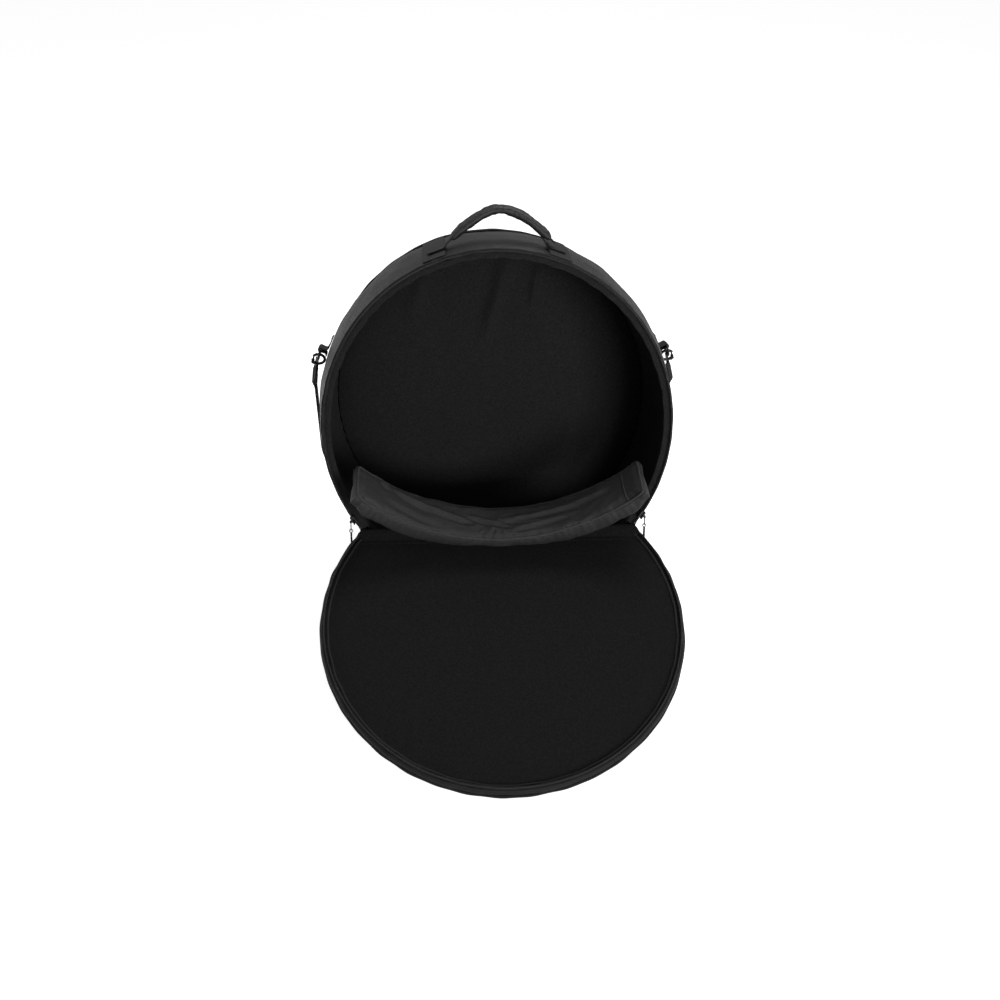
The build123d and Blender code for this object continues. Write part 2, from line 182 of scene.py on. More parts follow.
def stack(x, y, z):
    return np.stack(np.broadcast_arrays(x, y, z), -1).astype(float)


# ------------------------------------------------------------------ mesh builders
def add_mesh(name, verts, faces, uvs, matrix, material):
    """Mesh object from points in one of this script's frames, with a UV map in metres."""
    mesh = bpy.data.meshes.new(name)
    world = np.asarray(verts, float) @ np.array(matrix.to_3x3()).T + np.array(matrix.translation)
    mesh.from_pydata(world.tolist(), [], faces)
    layer = mesh.uv_layers.new(name="UVMap")
    layer.data.foreach_set("uv", np.array(uvs, float).ravel())
    mesh.materials.append(material)
    obj = bpy.data.objects.new(name, mesh)
    bpy.context.scene.collection.objects.link(obj)
    return obj


def tidy(obj, merge=1e-5, toward=None):
    """Merge doubled points, drop flattened faces, point the normals outwards and shade smooth.

    An open sheet's normals are turned towards the point `toward`, in the row frame, where one is given.
    """
    bm = bmesh.new()
    bm.from_mesh(obj.data)
    bmesh.ops.remove_doubles(bm, verts=bm.verts, dist=merge)
    bmesh.ops.dissolve_degenerate(bm, edges=bm.edges, dist=merge / 10)
    bmesh.ops.recalc_face_normals(bm, faces=bm.faces)
    if toward is not None:
        bm.faces.ensure_lookup_table()
        votes = sum((toward - f.calc_center_median()).dot(f.normal) * f.calc_area() for f in bm.faces)
        if votes < 0:
            bmesh.ops.reverse_faces(bm, faces=bm.faces)
    bm.to_mesh(obj.data)
    bm.free()
    obj.data.polygons.foreach_set("use_smooth", [True] * len(obj.data.polygons))
    return obj


def bake(obj):
    """Apply every modifier."""
    graph = bpy.context.evaluated_depsgraph_get()
    mesh = bpy.data.meshes.new_from_object(obj.evaluated_get(graph))
    obj.modifiers.clear()
    obj.data = mesh
    mesh.polygons.foreach_set("use_smooth", [True] * len(mesh.polygons))
    return obj


def thicken(obj, thickness, offset=-1.0):
    solid = obj.modifiers.new("thickness", "SOLIDIFY")
    solid.thickness = thickness
    solid.offset = offset
    return bake(obj)


def sheet(name, points, uv, matrix, material, thickness, closed=False, toward=None):
    """Cloth sheet from a grid of points (rows, columns, 3), given a thickness away from `toward`."""
    rows, cols = points.shape[:2]
    spans = cols if closed else cols - 1
    faces, uvs = [], []
    for r in range(rows - 1):
        for c in range(spans):
            d = (c + 1) % cols
            faces.append((r * cols + c, r * cols + d, (r + 1) * cols + d, (r + 1) * cols + c))
            wrap = uv[r, c + 1] if c + 1 < uv.shape[1] else uv[r, c]
            wrap_up = uv[r + 1, c + 1] if c + 1 < uv.shape[1] else uv[r + 1, c]
            uvs += [uv[r, c], wrap, wrap_up, uv[r + 1, c]]
    obj = add_mesh(name, points.reshape(-1, 3), faces, uvs, matrix, material)
    tidy(obj, toward=None if toward is None else matrix @ Vector(toward))
    return thicken(obj, thickness)


def girth(outline):
    """Distance round an outline at each of its points, and once more at its start."""
    gaps = np.linalg.norm(np.diff(outline, axis=0, append=outline[:1]), axis=1)
    return np.concatenate([[0], np.cumsum(gaps)])


def skin(name, points, along, across, matrix, material, closed=False, last_cap=0.0):
    """Mesh over rings of points (rings, points, 3), capped at both ends unless it closes on itself."""
    n, k = points.shape[:2]
    faces, uvs = [], []
    for i in range(n if closed else n - 1):
        j = (i + 1) % n
        for c in range(k):
            d = (c + 1) % k
            faces.append((i * k + c, i * k + d, j * k + d, j * k + c))
            uvs += [(along[i], across[c]), (along[i], across[c + 1]),
                    (along[i + 1], across[c + 1]), (along[i + 1], across[c])]
    if not closed:
        faces += [tuple(range(k)), tuple((n - 1) * k + c for c in range(k))]
        uvs += [(0.0, across[c]) for c in range(k)] + [(last_cap, across[c]) for c in range(k)]
    return tidy(add_mesh(name, points.reshape(-1, 3), faces, uvs, matrix, material), 1e-6)


def sweep(name, centres, side, rise, outline, matrix, material, closed=False):
    """Solid of one outline carried along a path. side and rise are the outline's two directions.

    outline is (points, 2), or (path points, points, 2) where it changes along the way.
    """
    centres, side, rise = (np.asarray(v, float) for v in (centres, side, rise))
    outline = np.asarray(outline, float)
    if outline.ndim == 2:
        outline = np.broadcast_to(outline, (len(centres),) + outline.shape)
    points = centres[:, None] + side[:, None] * outline[..., :1] + rise[:, None] * outline[..., 1:]
    steps = np.linalg.norm(np.diff(centres, axis=0), axis=1)
    along = np.concatenate([[0], np.cumsum(steps)])
    if closed:
        along = np.append(along, along[-1] + steps[0])
    return skin(name, points, along, girth(outline[0]), matrix, material, closed, along[-1])


def ribbon(name, line, half_width, half_thick, matrix, count=20, power=0.4):
    """Webbing along a path that bends only about the depth axis."""
    side = np.tile((0.0, 1.0, 0.0), (len(line), 1))
    tangent = np.gradient(line, axis=0)
    tangent /= np.linalg.norm(tangent, axis=1, keepdims=True)
    outline = oval(half_width, half_thick, count, power)
    return sweep(name, line, side, np.cross(tangent, side), outline, matrix, WEBBING)


def oval(half_a, half_b, count=16, power=1.0):
    """Outline of an oval; a power below 1 squares it off."""
    t = np.linspace(0, TAU, count, endpoint=False)
    c, s = np.cos(t), np.sin(t)
    return np.stack([half_a * np.sign(c) * np.abs(c) ** power, half_b * np.sign(s) * np.abs(s) ** power], -1)


def ring_path(radius, y, start, end, count, wobble=0.0, seed=1):
    """Centres and directions along an arc about the depth axis, angles from +X towards +Z."""
    t = np.linspace(start, end, count)
    r = radius + wobble * around(t, seed, 9, 41)
    cos, sin = np.cos(t), np.sin(t)
    nothing = np.zeros_like(t)
    centres = stack(r * cos, y + wobble * around(t, seed + 1, 7, 31), r * sin)
    return centres, stack(cos, nothing, sin), stack(nothing, nothing + 1, nothing)


def path_frame(centres, normal_hint):
    """Two directions across a free path, the second one near a hint."""
    tangent = np.gradient(np.asarray(centres, float), axis=0)
    tangent /= np.linalg.norm(tangent, axis=1, keepdims=True)
    hint = np.broadcast_to(np.asarray(normal_hint, float), tangent.shape)
    side = np.cross(hint, tangent)
    side /= np.linalg.norm(side, axis=1, keepdims=True)
    return side, np.cross(tangent, side)


def mirror_x(sign, points):
    return np.asarray(points, float) * (sign, 1, 1)


def resample(points, step):
    """The same path with its points an even step apart."""
    points = np.asarray(points, float)
    length = np.concatenate([[0], np.cumsum(np.linalg.norm(np.diff(points, axis=0), axis=1))])
    even = np.linspace(0, length[-1], max(2, int(length[-1] / step) + 1))
    return np.stack([np.interp(even, length, points[:, i]) for i in range(3)], -1)


def join(name, parts):
    """One object from several of one material."""
    bm = bmesh.new()
    for part in parts:
        bm.from_mesh(part.data)
    mesh = bpy.data.meshes.new(name)
    bm.to_mesh(mesh)
    bm.free()
    mesh.materials.append(parts[0].data.materials[0])
    for part in parts:
        bpy.data.objects.remove(part)
    mesh.polygons.foreach_set("use_smooth", [True] * len(mesh.polygons))
    obj = bpy.data.objects.new(name, mesh)
    bpy.context.scene.collection.objects.link(obj)
    return obj


def stitches(name, centres, outward, matrix, material, pitch=0.0045, length=0.0030, thick=0.00035):
    """A row of short raised thread bars along a path."""
    centres = resample(centres, pitch)
    outward = np.asarray(outward, float)
    pick = np.linspace(0, len(outward) - 1, len(centres)).round().astype(int)
    outward = outward[pick]
    tangent = np.gradient(centres, axis=0)
    tangent /= np.linalg.norm(tangent, axis=1, keepdims=True)
    side = np.cross(tangent, outward)
    verts, faces, uvs = [], [], []
    stations = [(-0.5, 0.0, -0.6), (-0.32, 1.0, 0.5), (0.32, 1.0, 0.5), (0.5, 0.0, -0.6)]
    corners = [(math.cos(a), math.sin(a)) for a in np.linspace(0, TAU, 6, endpoint=False)]
    for centre, t, o, s in zip(centres, tangent, outward, side):
        base = len(verts)
        for place, size, lift in stations:
            middle = centre + t * place * length + o * lift * thick
            r = thick * max(size, 0.35)
            verts += [middle + s * ca * r + o * cb * r for ca, cb in corners]
        for i in range(3):
            for c in range(6):
                d = (c + 1) % 6
                faces.append((base + i * 6 + c, base + i * 6 + d, base + i * 6 + 6 + d, base + i * 6 + 6 + c))
                uvs += [(0, 0), (0, 0.001), (0.001, 0.001), (0.001, 0)]
        faces += [tuple(base + c for c in range(6)), tuple(base + 18 + c for c in range(6))]
        uvs += [(0, 0)] * 12
    return tidy(add_mesh(name, verts, faces, uvs, matrix, material), 1e-7)


def sew(name, path, outward, matrix, body, slot, **spacing):
    """A row of stitches that rides with its cloth."""
    return finish_piece(stitches(name, path, outward, matrix, THREAD, **spacing), body)


# ------------------------------------------------------------------ materials
class Nodes:
    """Short way to write a node tree."""

    def __init__(self, name):
        self.material = bpy.data.materials.new(name)
        self.material.use_nodes = True
        self.tree = self.material.node_tree
        self.shader = self.tree.nodes["Principled BSDF"]

    def add(self, kind, inputs=(), **settings):
        node = self.tree.nodes.new(kind)
        for key, value in settings.items():
            setattr(node, key, value)
        for key, value in dict(inputs).items():
            self.feed(node.inputs[key], value)
        return node

    def feed(self, socket, value):
        if isinstance(value, bpy.types.NodeSocket):
            self.tree.links.new(value, socket)
        else:
            socket.default_value = value

    def math(self, operation, a, b=0.0):
        return self.add("ShaderNodeMath", {0: a, 1: b}, operation=operation).outputs[0]

    def noise(self, coords, scale, detail=3.0, rough=0.5):
        found = {"Vector": coords, "Scale": scale, "Detail": detail, "Roughness": rough}
        return self.add("ShaderNodeTexNoise", found).outputs["Fac"]

    def ramp(self, value, low, high):
        """Map 0..1 to low..high."""
        span = self.math("MULTIPLY", value, high - low)
        return self.math("ADD", span, low)

    def coords(self, kind):
        return self.add("ShaderNodeTexCoord").outputs[kind]

    def split(self, vector):
        return self.add("ShaderNodeSeparateXYZ", {0: vector}).outputs

    def mix_colour(self, factor, a, b):
        node = self.add("ShaderNodeMix", data_type="RGBA")
        self.feed(node.inputs["Factor"], factor)
        self.feed(node.inputs[6], a)
        self.feed(node.inputs[7], b)
        return node.outputs[2]

    def bumps(self, *layers):
        """Chain of bumps, each (height, depth in metres)."""
        normal = None
        for height, depth in layers:
            bump = self.add("ShaderNodeBump", {"Height": height, "Distance": depth, "Strength": 1.0})
            if normal is not None:
                self.feed(bump.inputs["Normal"], normal)
            normal = bump.outputs["Normal"]
        self.feed(self.shader.inputs["Normal"], normal)

    def set(self, **inputs):
        for key, value in inputs.items():
            self.feed(self.shader.inputs[key.replace("_", " ")], value)


def grey(value, warmth=0.0):
    return (value * (1 + warmth), value, value * (1 - warmth), 1.0)


def weave(n, u, v, pitch):
    """Plain weave height 0 to 1: threads that pass over and under each other."""
    a = n.math("SINE", n.math("MULTIPLY", u, TAU / pitch))
    b = n.math("SINE", n.math("MULTIPLY", v, TAU / pitch))
    return n.ramp(n.math("MULTIPLY", a, b), 0.5, 1.0)


def woven(name, shade, roughness, pitch, depth, sheen, warmth=0.0, gloss=0.4):
    """Woven cloth: thread pattern, slubs, soft mottling and dust-light wear."""
    n = Nodes(name)
    uv = n.coords("UV")
    place = n.coords("Object")
    u, v, _ = n.split(uv)
    threads = weave(n, u, v, pitch)
    cloud = n.noise(place, 9.0, 4.0)
    slub = n.noise(place, 160.0, 5.0, 0.7)
    rumple = n.noise(place, 46.0, 3.0)
    tone = n.mix_colour(cloud, grey(shade * 0.86, warmth), grey(shade * 1.16, warmth))
    tone = n.mix_colour(n.math("MULTIPLY", slub, 0.35), tone, grey(shade * 1.7, warmth))
    tone = n.mix_colour(n.ramp(threads, 0.35, 0.0), tone, grey(shade * 0.45))
    n.set(Base_Color=tone, Roughness=n.ramp(slub, roughness - 0.07, roughness + 0.09),
          Specular_IOR_Level=gloss, Sheen_Weight=sheen, Sheen_Roughness=0.45)
    n.bumps((threads, depth), (rumple, 0.0007), (slub, 0.00012))
    return n.material


def brushed(name, shade, gloss=0.05):
    """Brushed fleece: short matted pile with a faint nap, small tufts and paler fibre ends; the tufts also
    carry painted light on their raised tops and painted shade between them.
    """
    n = Nodes(name)
    place = n.coords("Object")
    pile = n.noise(place, 950.0, 6.0, 0.75)
    tuft = n.noise(place, 330.0, 3.0, 0.6)
    nap = n.noise(place, 7.0, 3.0)
    tone = n.mix_colour(nap, grey(shade * 0.88, 0.02), grey(shade * 1.1, 0.02))
    # Painted light: a paler copy of the tone for the raised tops of the tufts; their hollows are painted
    # darker, at 0.62 of the shade, as painted shade.
    lit_tone = n.mix_colour(0.5, tone, grey(shade * 2.0))
    tone = n.mix_colour(n.ramp(tuft, -1.2, 2.2), grey(shade * 0.62, 0.02), lit_tone)
    tone = n.mix_colour(n.math("POWER", pile, 2.2), tone, grey(shade * 2.2, 0.02))
    n.set(Base_Color=tone, Roughness=n.ramp(tuft, 0.88, 1.0), Specular_IOR_Level=gloss,
          Sheen_Weight=0.015, Sheen_Roughness=0.6)
    n.bumps((tuft, 0.0008), (pile, 0.0003))
    return n.material


def ribbed(name, shade, pitch, coords="UV", roughness=0.62):
    """Heavy webbing or tape: ribs across it with a chevron of threads along it."""
    n = Nodes(name)
    u, v, _ = n.split(n.coords(coords))
    ribs = n.ramp(n.math("SINE", n.math("MULTIPLY", u, TAU / pitch)), 0.5, 1.0)
    chevron = n.math("ADD", n.math("MULTIPLY", u, 0.5), n.math("PINGPONG", v, pitch * 3))
    threads = n.ramp(n.math("SINE", n.math("MULTIPLY", chevron, TAU / (pitch * 0.8))), 0.5, 1.0)
    slub = n.noise(n.coords("Object"), 240.0, 4.0, 0.7)
    tone = n.mix_colour(slub, grey(shade * 0.75), grey(shade * 1.45))
    tone = n.mix_colour(n.ramp(threads, 0.4, 0.0), tone, grey(shade * 0.5))
    n.set(Base_Color=tone, Roughness=n.ramp(slub, roughness - 0.05, roughness + 0.12),
          Sheen_Weight=0.03, Sheen_Roughness=0.5, Specular_IOR_Level=0.3)
    n.bumps((ribs, 0.00025), (threads, 0.00018), (slub, 0.0001))
    return n.material


def mesh_cloth(name, shade, pitch):
    """Spacer mesh with small round holes in staggered rows, painted darker in the holes as painted shade for
    their depth.
    """
    n = Nodes(name)
    u, v, _ = n.split(n.coords("UV"))
    a = n.math("SINE", n.math("MULTIPLY", u, TAU / pitch))
    b = n.math("COSINE", n.math("MULTIPLY", v, TAU / pitch))
    holes = n.ramp(n.math("MULTIPLY", a, b), 0.5, 1.0)
    rim = n.math("SMOOTH_MIN", holes, 0.6)
    slub = n.noise(n.coords("Object"), 300.0, 4.0, 0.7)
    # Painted shade: the holes are coloured darker, standing in for the shade inside them.
    tone = n.mix_colour(rim, grey(shade * 0.3), grey(shade * 1.5))
    n.set(Base_Color=tone, Roughness=n.ramp(slub, 0.65, 0.85), Sheen_Weight=0.2)
    n.bumps((rim, 0.0008), (slub, 0.0001))
    return n.material


def lacquer(name, shade, roughness, bare):
    """Black lacquered metal, rubbed brighter where its edges touch things."""
    n = Nodes(name)
    place = n.coords("Object")
    orange_peel = n.noise(place, 700.0, 3.0)
    scuffs = n.noise(place, 320.0, 6.0, 0.8)
    edges = n.add("ShaderNodeNewGeometry").outputs["Pointiness"]
    worn = n.math("MULTIPLY", n.math("GREATER_THAN", edges, 0.56), n.math("POWER", scuffs, 1.5))
    tone = n.mix_colour(worn, grey(shade), grey(bare))
    n.set(Base_Color=tone, Metallic=n.ramp(worn, 0.0, 0.6), Specular_IOR_Level=0.35,
          Roughness=n.ramp(scuffs, roughness - 0.08, roughness + 0.14),
          Coat_Weight=0.08, Coat_Roughness=0.3)
    n.bumps((orange_peel, 0.00005), (scuffs, 0.00004))
    return n.material


def moulded(name, shade, roughness):
    """Moulded plastic coil with a faint flow texture."""
    n = Nodes(name)
    place = n.coords("Object")
    flow = n.noise(place, 480.0, 4.0, 0.6)
    tone = n.mix_colour(flow, grey(shade * 0.8), grey(shade * 1.3))
    n.set(Base_Color=tone, Roughness=n.ramp(flow, roughness - 0.06, roughness + 0.1))
    n.bumps((flow, 0.00006))
    return n.material


NYLON = woven("gusset_nylon", 0.011, 0.40, 0.0011, 0.00018, 0.03, 0.05)
BOLSTER_NYLON = woven("bolster_nylon", 0.016, 0.5, 0.0009, 0.00014, 0.02, gloss=0.25)
GRIP_NYLON = woven("grip_nylon", 0.009, 0.5, 0.0010, 0.00016, 0.02)
FLEECE = brushed("fleece_lining", 0.0115)
# Painted shade: the lid's lining is the bag's fleece painted darker, because the upturned lid catches more
# light.
LID_FLEECE_PAINTED_SHADE = brushed("fleece_lid_lining", 0.0058, 0.03)
WEBBING = ribbed("strap_webbing_weave", 0.009, 0.0016)
BINDING = ribbed("binding_weave", 0.007, 0.0011, roughness=0.6)
# Painted highlight: the bolster's piping cord is painted paler than its nylon, for the light line along the
# piped ridge.
BOLSTER_CORD_PAINTED_HIGHLIGHT = ribbed("bolster_cord_weave", 0.030, 0.0011, roughness=0.5)
LID_NYLON = woven("lid_nylon", 0.008, 0.5, 0.0011, 0.00018, 0.02, 0.05, gloss=0.15)
ZIP_TAPE = ribbed("zip_tape_weave", 0.010, 0.0009)
THREAD = moulded("sewing_thread", 0.020, 0.6)
COIL = moulded("zip_coil_plastic", 0.014, 0.36)
METAL = lacquer("black_lacquer", 0.005, 0.5, 0.03)
MESH = mesh_cloth("spacer_mesh", 0.016, 0.0034)


# ------------------------------------------------------------------ bag: outside
def wall_radius(y, inset=0.0):
    """Radius of the bellied side wall at a depth."""
    s = np.clip((y - FRONT_Y) / (WALL_BACK_Y - FRONT_Y) * 2 - 1, -1, 1)
    return RIM_R + (BELLY_R - RIM_R) * (1 - s * s) - inset


def wall_dents(angle, y, seed, reach, amount):
    """Slack dents in the middle and gathered puckers where the wall is sewn at its edges."""
    points = stack(RIM_R * np.cos(angle), y, RIM_R * np.sin(angle))
    edge = np.minimum(y - FRONT_Y, WALL_BACK_Y - y)
    loose = np.clip(edge / 0.05, 0, 1)
    slack = waves(points, seed, 0.16) * loose + 0.5 * waves(points, seed + 1, 0.05) * loose
    pucker = around(angle, seed + 2, 50, 120) * np.exp(-edge / reach)
    drag = 1 - np.abs(np.sin(3.5 * angle + 22.0 * y + 0.8 * waves(points, seed + 3, 0.2)))
    return amount * (slack + 0.7 * pucker + 0.8 * loose * drag ** 10)


def gusset():
    """Outer side wall, drawn a little tighter under the handle's bands and where the hooks swing."""
    angle, y = np.meshgrid(np.linspace(0, TAU, 540, endpoint=False),
                           np.linspace(FRONT_Y, WALL_BACK_Y, 64))
    hook = BAG.inverted() @ Vector(JOINTS["hook_right_swivel"]["pos_m"])
    tight = np.exp(-((RIM_R * np.sin(angle) - hook.z + 0.02) / 0.07) ** 2 - ((y - hook.y) / 0.06) ** 2)
    patch_low, patch_high = local_box("handle_patches", BAG)
    patch_x = (HANDLE_HALF + patch_high[0]) / 2
    banded = np.exp(-((RIM_R * np.abs(np.cos(angle)) - patch_x) / 0.030) ** 4) * (np.sin(angle) > 0)
    tight = np.maximum(tight, banded * (y > patch_low[1]))
    r = wall_radius(y, 0.0006 * tight) + wall_dents(angle, y, 11, 0.014, 0.0013) * (1 - 0.95 * tight)
    points = stack(r * np.cos(angle), y, r * np.sin(angle))
    uv_angle, uv_y = np.meshgrid(np.linspace(0, TAU, 541), y[:, 0])
    uv = np.stack([uv_angle * RIM_R, uv_y], -1)
    obj = sheet("gusset", points, uv, BAG, NYLON, OUTER_CLOTH, closed=True)
    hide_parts("side_wall_cover", "side_wall_foam")
    return finish_piece(obj, "bag")


def gusset_lining():
    inset = RIM_R - LINING_R - 0.0012
    angle, y = np.meshgrid(np.linspace(0, TAU, 540, endpoint=False),
                           np.linspace(FRONT_Y, BACK_LINING_Y + 0.004, 60))
    r = wall_radius(y, inset) + wall_dents(angle, y, 31, 0.03, 0.0016) - 0.0012
    points = stack(r * np.cos(angle), y, r * np.sin(angle))
    uv_angle, uv_y = np.meshgrid(np.linspace(0, TAU, 541), y[:, 0])
    obj = sheet("gusset_lining", points, np.stack([uv_angle * RIM_R, uv_y], -1), BAG, FLEECE,
                0.0012, closed=True)
    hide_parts("side_wall_lining")
    return finish_piece(obj, "bag")


def finish_piece(obj, body):
    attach(obj, body)
    return obj


def disc_grid(radius, rings=70, spokes=420):
    """Angles and radii of a round panel, closer together near its edge."""
    t = np.linspace(0, 1, rings) ** 0.8
    angle, share = np.meshgrid(np.linspace(0, TAU, spokes, endpoint=False), t)
    return angle, share * radius


def round_panel(name, radius, depth_at, matrix, material, thickness, toward, low=None):
    """Round cloth panel, or one cut straight at height `low`; depth_at(x, z, edge distance)."""
    angle, r = disc_grid(radius)
    reach = np.full_like(angle, radius)
    if low is not None:
        down = np.sin(angle) < -1e-6
        reach[down] = np.minimum(radius, low / np.sin(angle[down]))
    r = r / radius * reach
    x, z = r * np.cos(angle), r * np.sin(angle)
    edge = radius - r
    if low is not None:
        edge = np.minimum(edge, z - low)
    points = stack(x, depth_at(x, z, edge), z)
    uv = np.stack([x, z], -1)
    uv = np.concatenate([uv, uv[:, :1]], 1)
    return sheet(name, points, uv, matrix, material, thickness, closed=True, toward=toward)


def back_cover():
    def depth(x, z, edge):
        points = stack(x, 0, z)
        plump = 0.0022 * (1 - np.exp(-edge / 0.03))
        slack = 0.0007 * waves(points, 51, 0.12) * np.clip(edge / 0.04, 0, 1)
        return BACK_Y - 0.0016 + plump + slack

    obj = round_panel("back_cover", RIM_R - 0.0004, depth, BAG, NYLON, OUTER_CLOTH, (0, 1.0, 0))
    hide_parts("back_panel_cover", "back_panel_foam")
    return finish_piece(obj, "bag")


def back_lining():
    def depth(x, z, edge):
        points = stack(x, 0, z)
        folds = creases(x, z, [(0.0110, (0.030, 0.262), (-0.012, 0.110), 0.014),
                               (0.0080, (0.085, 0.245), (0.074, 0.170), 0.008),
                               (0.0050, (-0.120, 0.235), (-0.150, 0.150), 0.012),
                               (0.0080, (0.150, -0.175), (0.215, -0.060), 0.014)])
        slack = 0.0024 * waves(points, 61, 0.17) + 0.0006 * waves(points, 62, 0.06)
        pucker = 0.0010 * around(np.arctan2(z, x), 63, 40, 90) * np.exp(-edge / 0.02)
        plump = 0.022 * (1 - np.exp(-edge / 0.035))
        return BACK_LINING_Y + 0.0025 - plump - folds - slack * np.clip(edge / 0.03, 0, 1) - pucker

    obj = round_panel("back_lining", LINING_R, depth, BAG, FLEECE, LINING_CLOTH, (0, -1.0, 0))
    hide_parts("back_panel_lining")
    return finish_piece(obj, "bag")


def piping(name, radius, y, start, end, matrix, thick, closed, seed, node, body, flange=0.005):
    """Piped edge: a round cord, with a flange that runs inwards into the seam."""
    count = 720 if closed else 560
    stop = end if not closed else end - (end - start) / count
    centres, side, rise = ring_path(radius, y, start, stop, count, 0.0005, seed)
    outline = oval(thick, thick, 12)
    outline[6, 0] -= flange
    obj = sweep(name, centres, side, rise, outline, matrix, BINDING, closed)
    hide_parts(node)
    return finish_piece(obj, body)


def back_piping():
    low, high = local_box("back_piping", BAG)
    thick = (high[1] - low[1]) / 2
    middle = (low[1] + high[1]) / 2
    return piping("back_edge_piping", high[0] - thick, middle, 0, TAU, BAG, thick, True, 71,
                  "back_piping", "bag")


def apron():
    """Fixed slice of the front, below the fold: padded panel with rounded edges."""
    chord = FOLD_Z - 0.002
    widest = math.acos(-chord / RIM_R)
    share, across = np.meshgrid(np.linspace(0.0, 1, 60) ** 0.7, np.linspace(-1, 1, 160), indexing="ij")
    z = -RIM_R * np.cos(share * widest)
    x = RIM_R * np.sin(share * widest) * across
    edge = np.minimum(RIM_R - np.hypot(x, z), chord - z)
    points = stack(x, 0, z)
    y = 0.008 * np.exp(-edge / 0.006) + 0.0008 * waves(points, 81, 0.09)
    y -= 0.001 * around(np.arctan2(z, x), 82, 60, 110) * np.exp(-edge / 0.02)
    uv = np.stack([x, z], -1)
    obj = sheet("front_apron", stack(x, y + 0.0006, z), uv, BAG, NYLON, OUTER_CLOTH, toward=(0, -1.0, -0.2))
    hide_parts("front_apron_cover", "front_apron_foam")
    finish_piece(obj, "bag")
    scale = (LINING_R - 0.001) / RIM_R
    inner_y = FRONT_Y + 0.0016 + 0.0012 * waves(points, 83, 0.07) + 0.0012
    inner_z = chord + (z - chord) * 0.92
    lining = sheet("front_apron_lining_cloth", stack(x * scale, inner_y, inner_z), uv, BAG, FLEECE,
                   0.0012, toward=(0, 1.0, -0.2))
    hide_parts("front_apron_lining")
    finish_piece(lining, "bag")


# ------------------------------------------------------------------ rim: binding, zip tape, coil
def flat_band(name, outline, matrix, material, seed, start_of, wobble=0.0003, count=620):
    """Band round the mouth. start_of(radius, y) is the angle at which each outline point starts."""
    outline = np.asarray(outline, float)
    t = np.linspace(0, 1, count)[:, None]
    start = np.array([start_of(r, y) for r, y in outline])[None, :]
    angle = start + t * (math.pi - 2 * start)
    shift = wobble * around(angle, seed, 11, 53)
    radius = outline[None, :, 0] + shift
    points = stack(radius * np.cos(angle), outline[None, :, 1] + shift, radius * np.sin(angle))
    step = RIM_R * (math.pi - 2 * start.mean()) / (count - 1)
    return skin(name, points, np.arange(count) * step, girth(outline), matrix, material)


def bag_start(_radius, _y):
    return ARC_START


def rim_start(_radius, _y):
    """The bound edge runs on down to the fixed slice of the front."""
    return FOLD_ANGLE - math.radians(0.7)


def binding():
    """Narrow bound edge of the mouth, its two rows of stitches and the lining rolled up to it."""
    low, high = local_box("rim_binding", BAG)
    outer = high[0] + 0.0008
    seam = outer - 0.0068
    inner = LINING_R - 0.0022
    middle_y = (low[1] + high[1]) / 2 + 0.0006
    outline = oval((outer - seam) / 2, 0.0021, 18, 0.55) + [(outer + seam) / 2, middle_y]
    obj = flat_band("mouth_binding", outline, BAG, BINDING, 91, rim_start)
    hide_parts("rim_binding")
    finish_piece(obj, "bag")
    outline = oval((seam - inner) / 2 + 0.0008, 0.0019, 18, 0.7) + [(seam + inner) / 2, middle_y + 0.0006]
    roll = flat_band("mouth_lining_roll", outline, BAG, FLEECE, 93, rim_start, 0.0006)
    finish_piece(roll, "bag")
    for k, radius in enumerate((seam + 0.0016, outer - 0.0020)):
        centres, _, rise = ring_path(radius, low[1] - 0.0004, ARC_START + 0.01, ARC_END - 0.01, 700)
        sew(f"mouth_stitches_{k + 1}", centres, -rise, BAG, "bag", "zip_teeth")


def coil(name, node, matrix, start, end, body):
    """Zip coil: a nylon filament wound along the edge of its tape."""
    low, high = local_box(node, matrix)
    outer = high[0]
    half_r = 0.0012
    half_y = (high[1] - low[1]) / 2 - 0.0003
    middle_r, middle_y = outer - half_r - 0.0004, (low[1] + high[1]) / 2
    pitch = 0.0026
    turns = (end - start) * middle_r / pitch
    t = np.linspace(0, 1, int(turns * 9))
    angle = start + t * (end - start)
    phase = t * turns * TAU
    r = middle_r + half_r * np.cos(phase)
    y = middle_y + half_y * np.sin(phase)
    centres = stack(r * np.cos(angle), y, r * np.sin(angle))
    outward = stack(np.cos(angle), 0, np.sin(angle))
    across = stack(0 * angle, 1, 0)
    rise = outward * np.cos(phase)[:, None] + across * np.sin(phase)[:, None]
    along = stack(-np.sin(angle), 0, np.cos(angle))
    obj = sweep(name, centres, along, rise, oval(0.00042, 0.00036, 5), matrix, COIL)
    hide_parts(node)
    return finish_piece(obj, body)


def zip_tape(name, node, matrix, start_of, body, seed):
    low, high = local_box(node, matrix)
    outer = high[0]
    outline = [(outer - 0.0011, low[1]), (outer - 0.0001, low[1] + 0.0002),
               (outer, (low[1] + high[1]) / 2), (outer - 0.0001, high[1]),
               (outer - 0.0011, high[1]), (outer - 0.0013, (low[1] + high[1]) / 2)]
    obj = flat_band(name, outline, matrix, ZIP_TAPE, seed, start_of, 0.0001)
    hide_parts(node)
    return finish_piece(obj, body)


# ------------------------------------------------------------------ lid
def lid_face():
    low = lid_low(LID_FACE_Y)

    def depth(x, z, edge):
        points = stack(x, 0, z)
        plump = 0.0035 * (1 - np.exp(-edge / 0.035))
        slack = 0.0009 * waves(points, 101, 0.14) * np.clip(edge / 0.03, 0, 1)
        return LID_FACE_Y + 0.0026 - plump - slack

    obj = round_panel("lid_face", RIM_R + 0.001, depth, LID, LID_NYLON, OUTER_CLOTH, (0, -1.0, 0), low)
    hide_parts("lid_cover", "lid_foam")
    return finish_piece(obj, "lid")


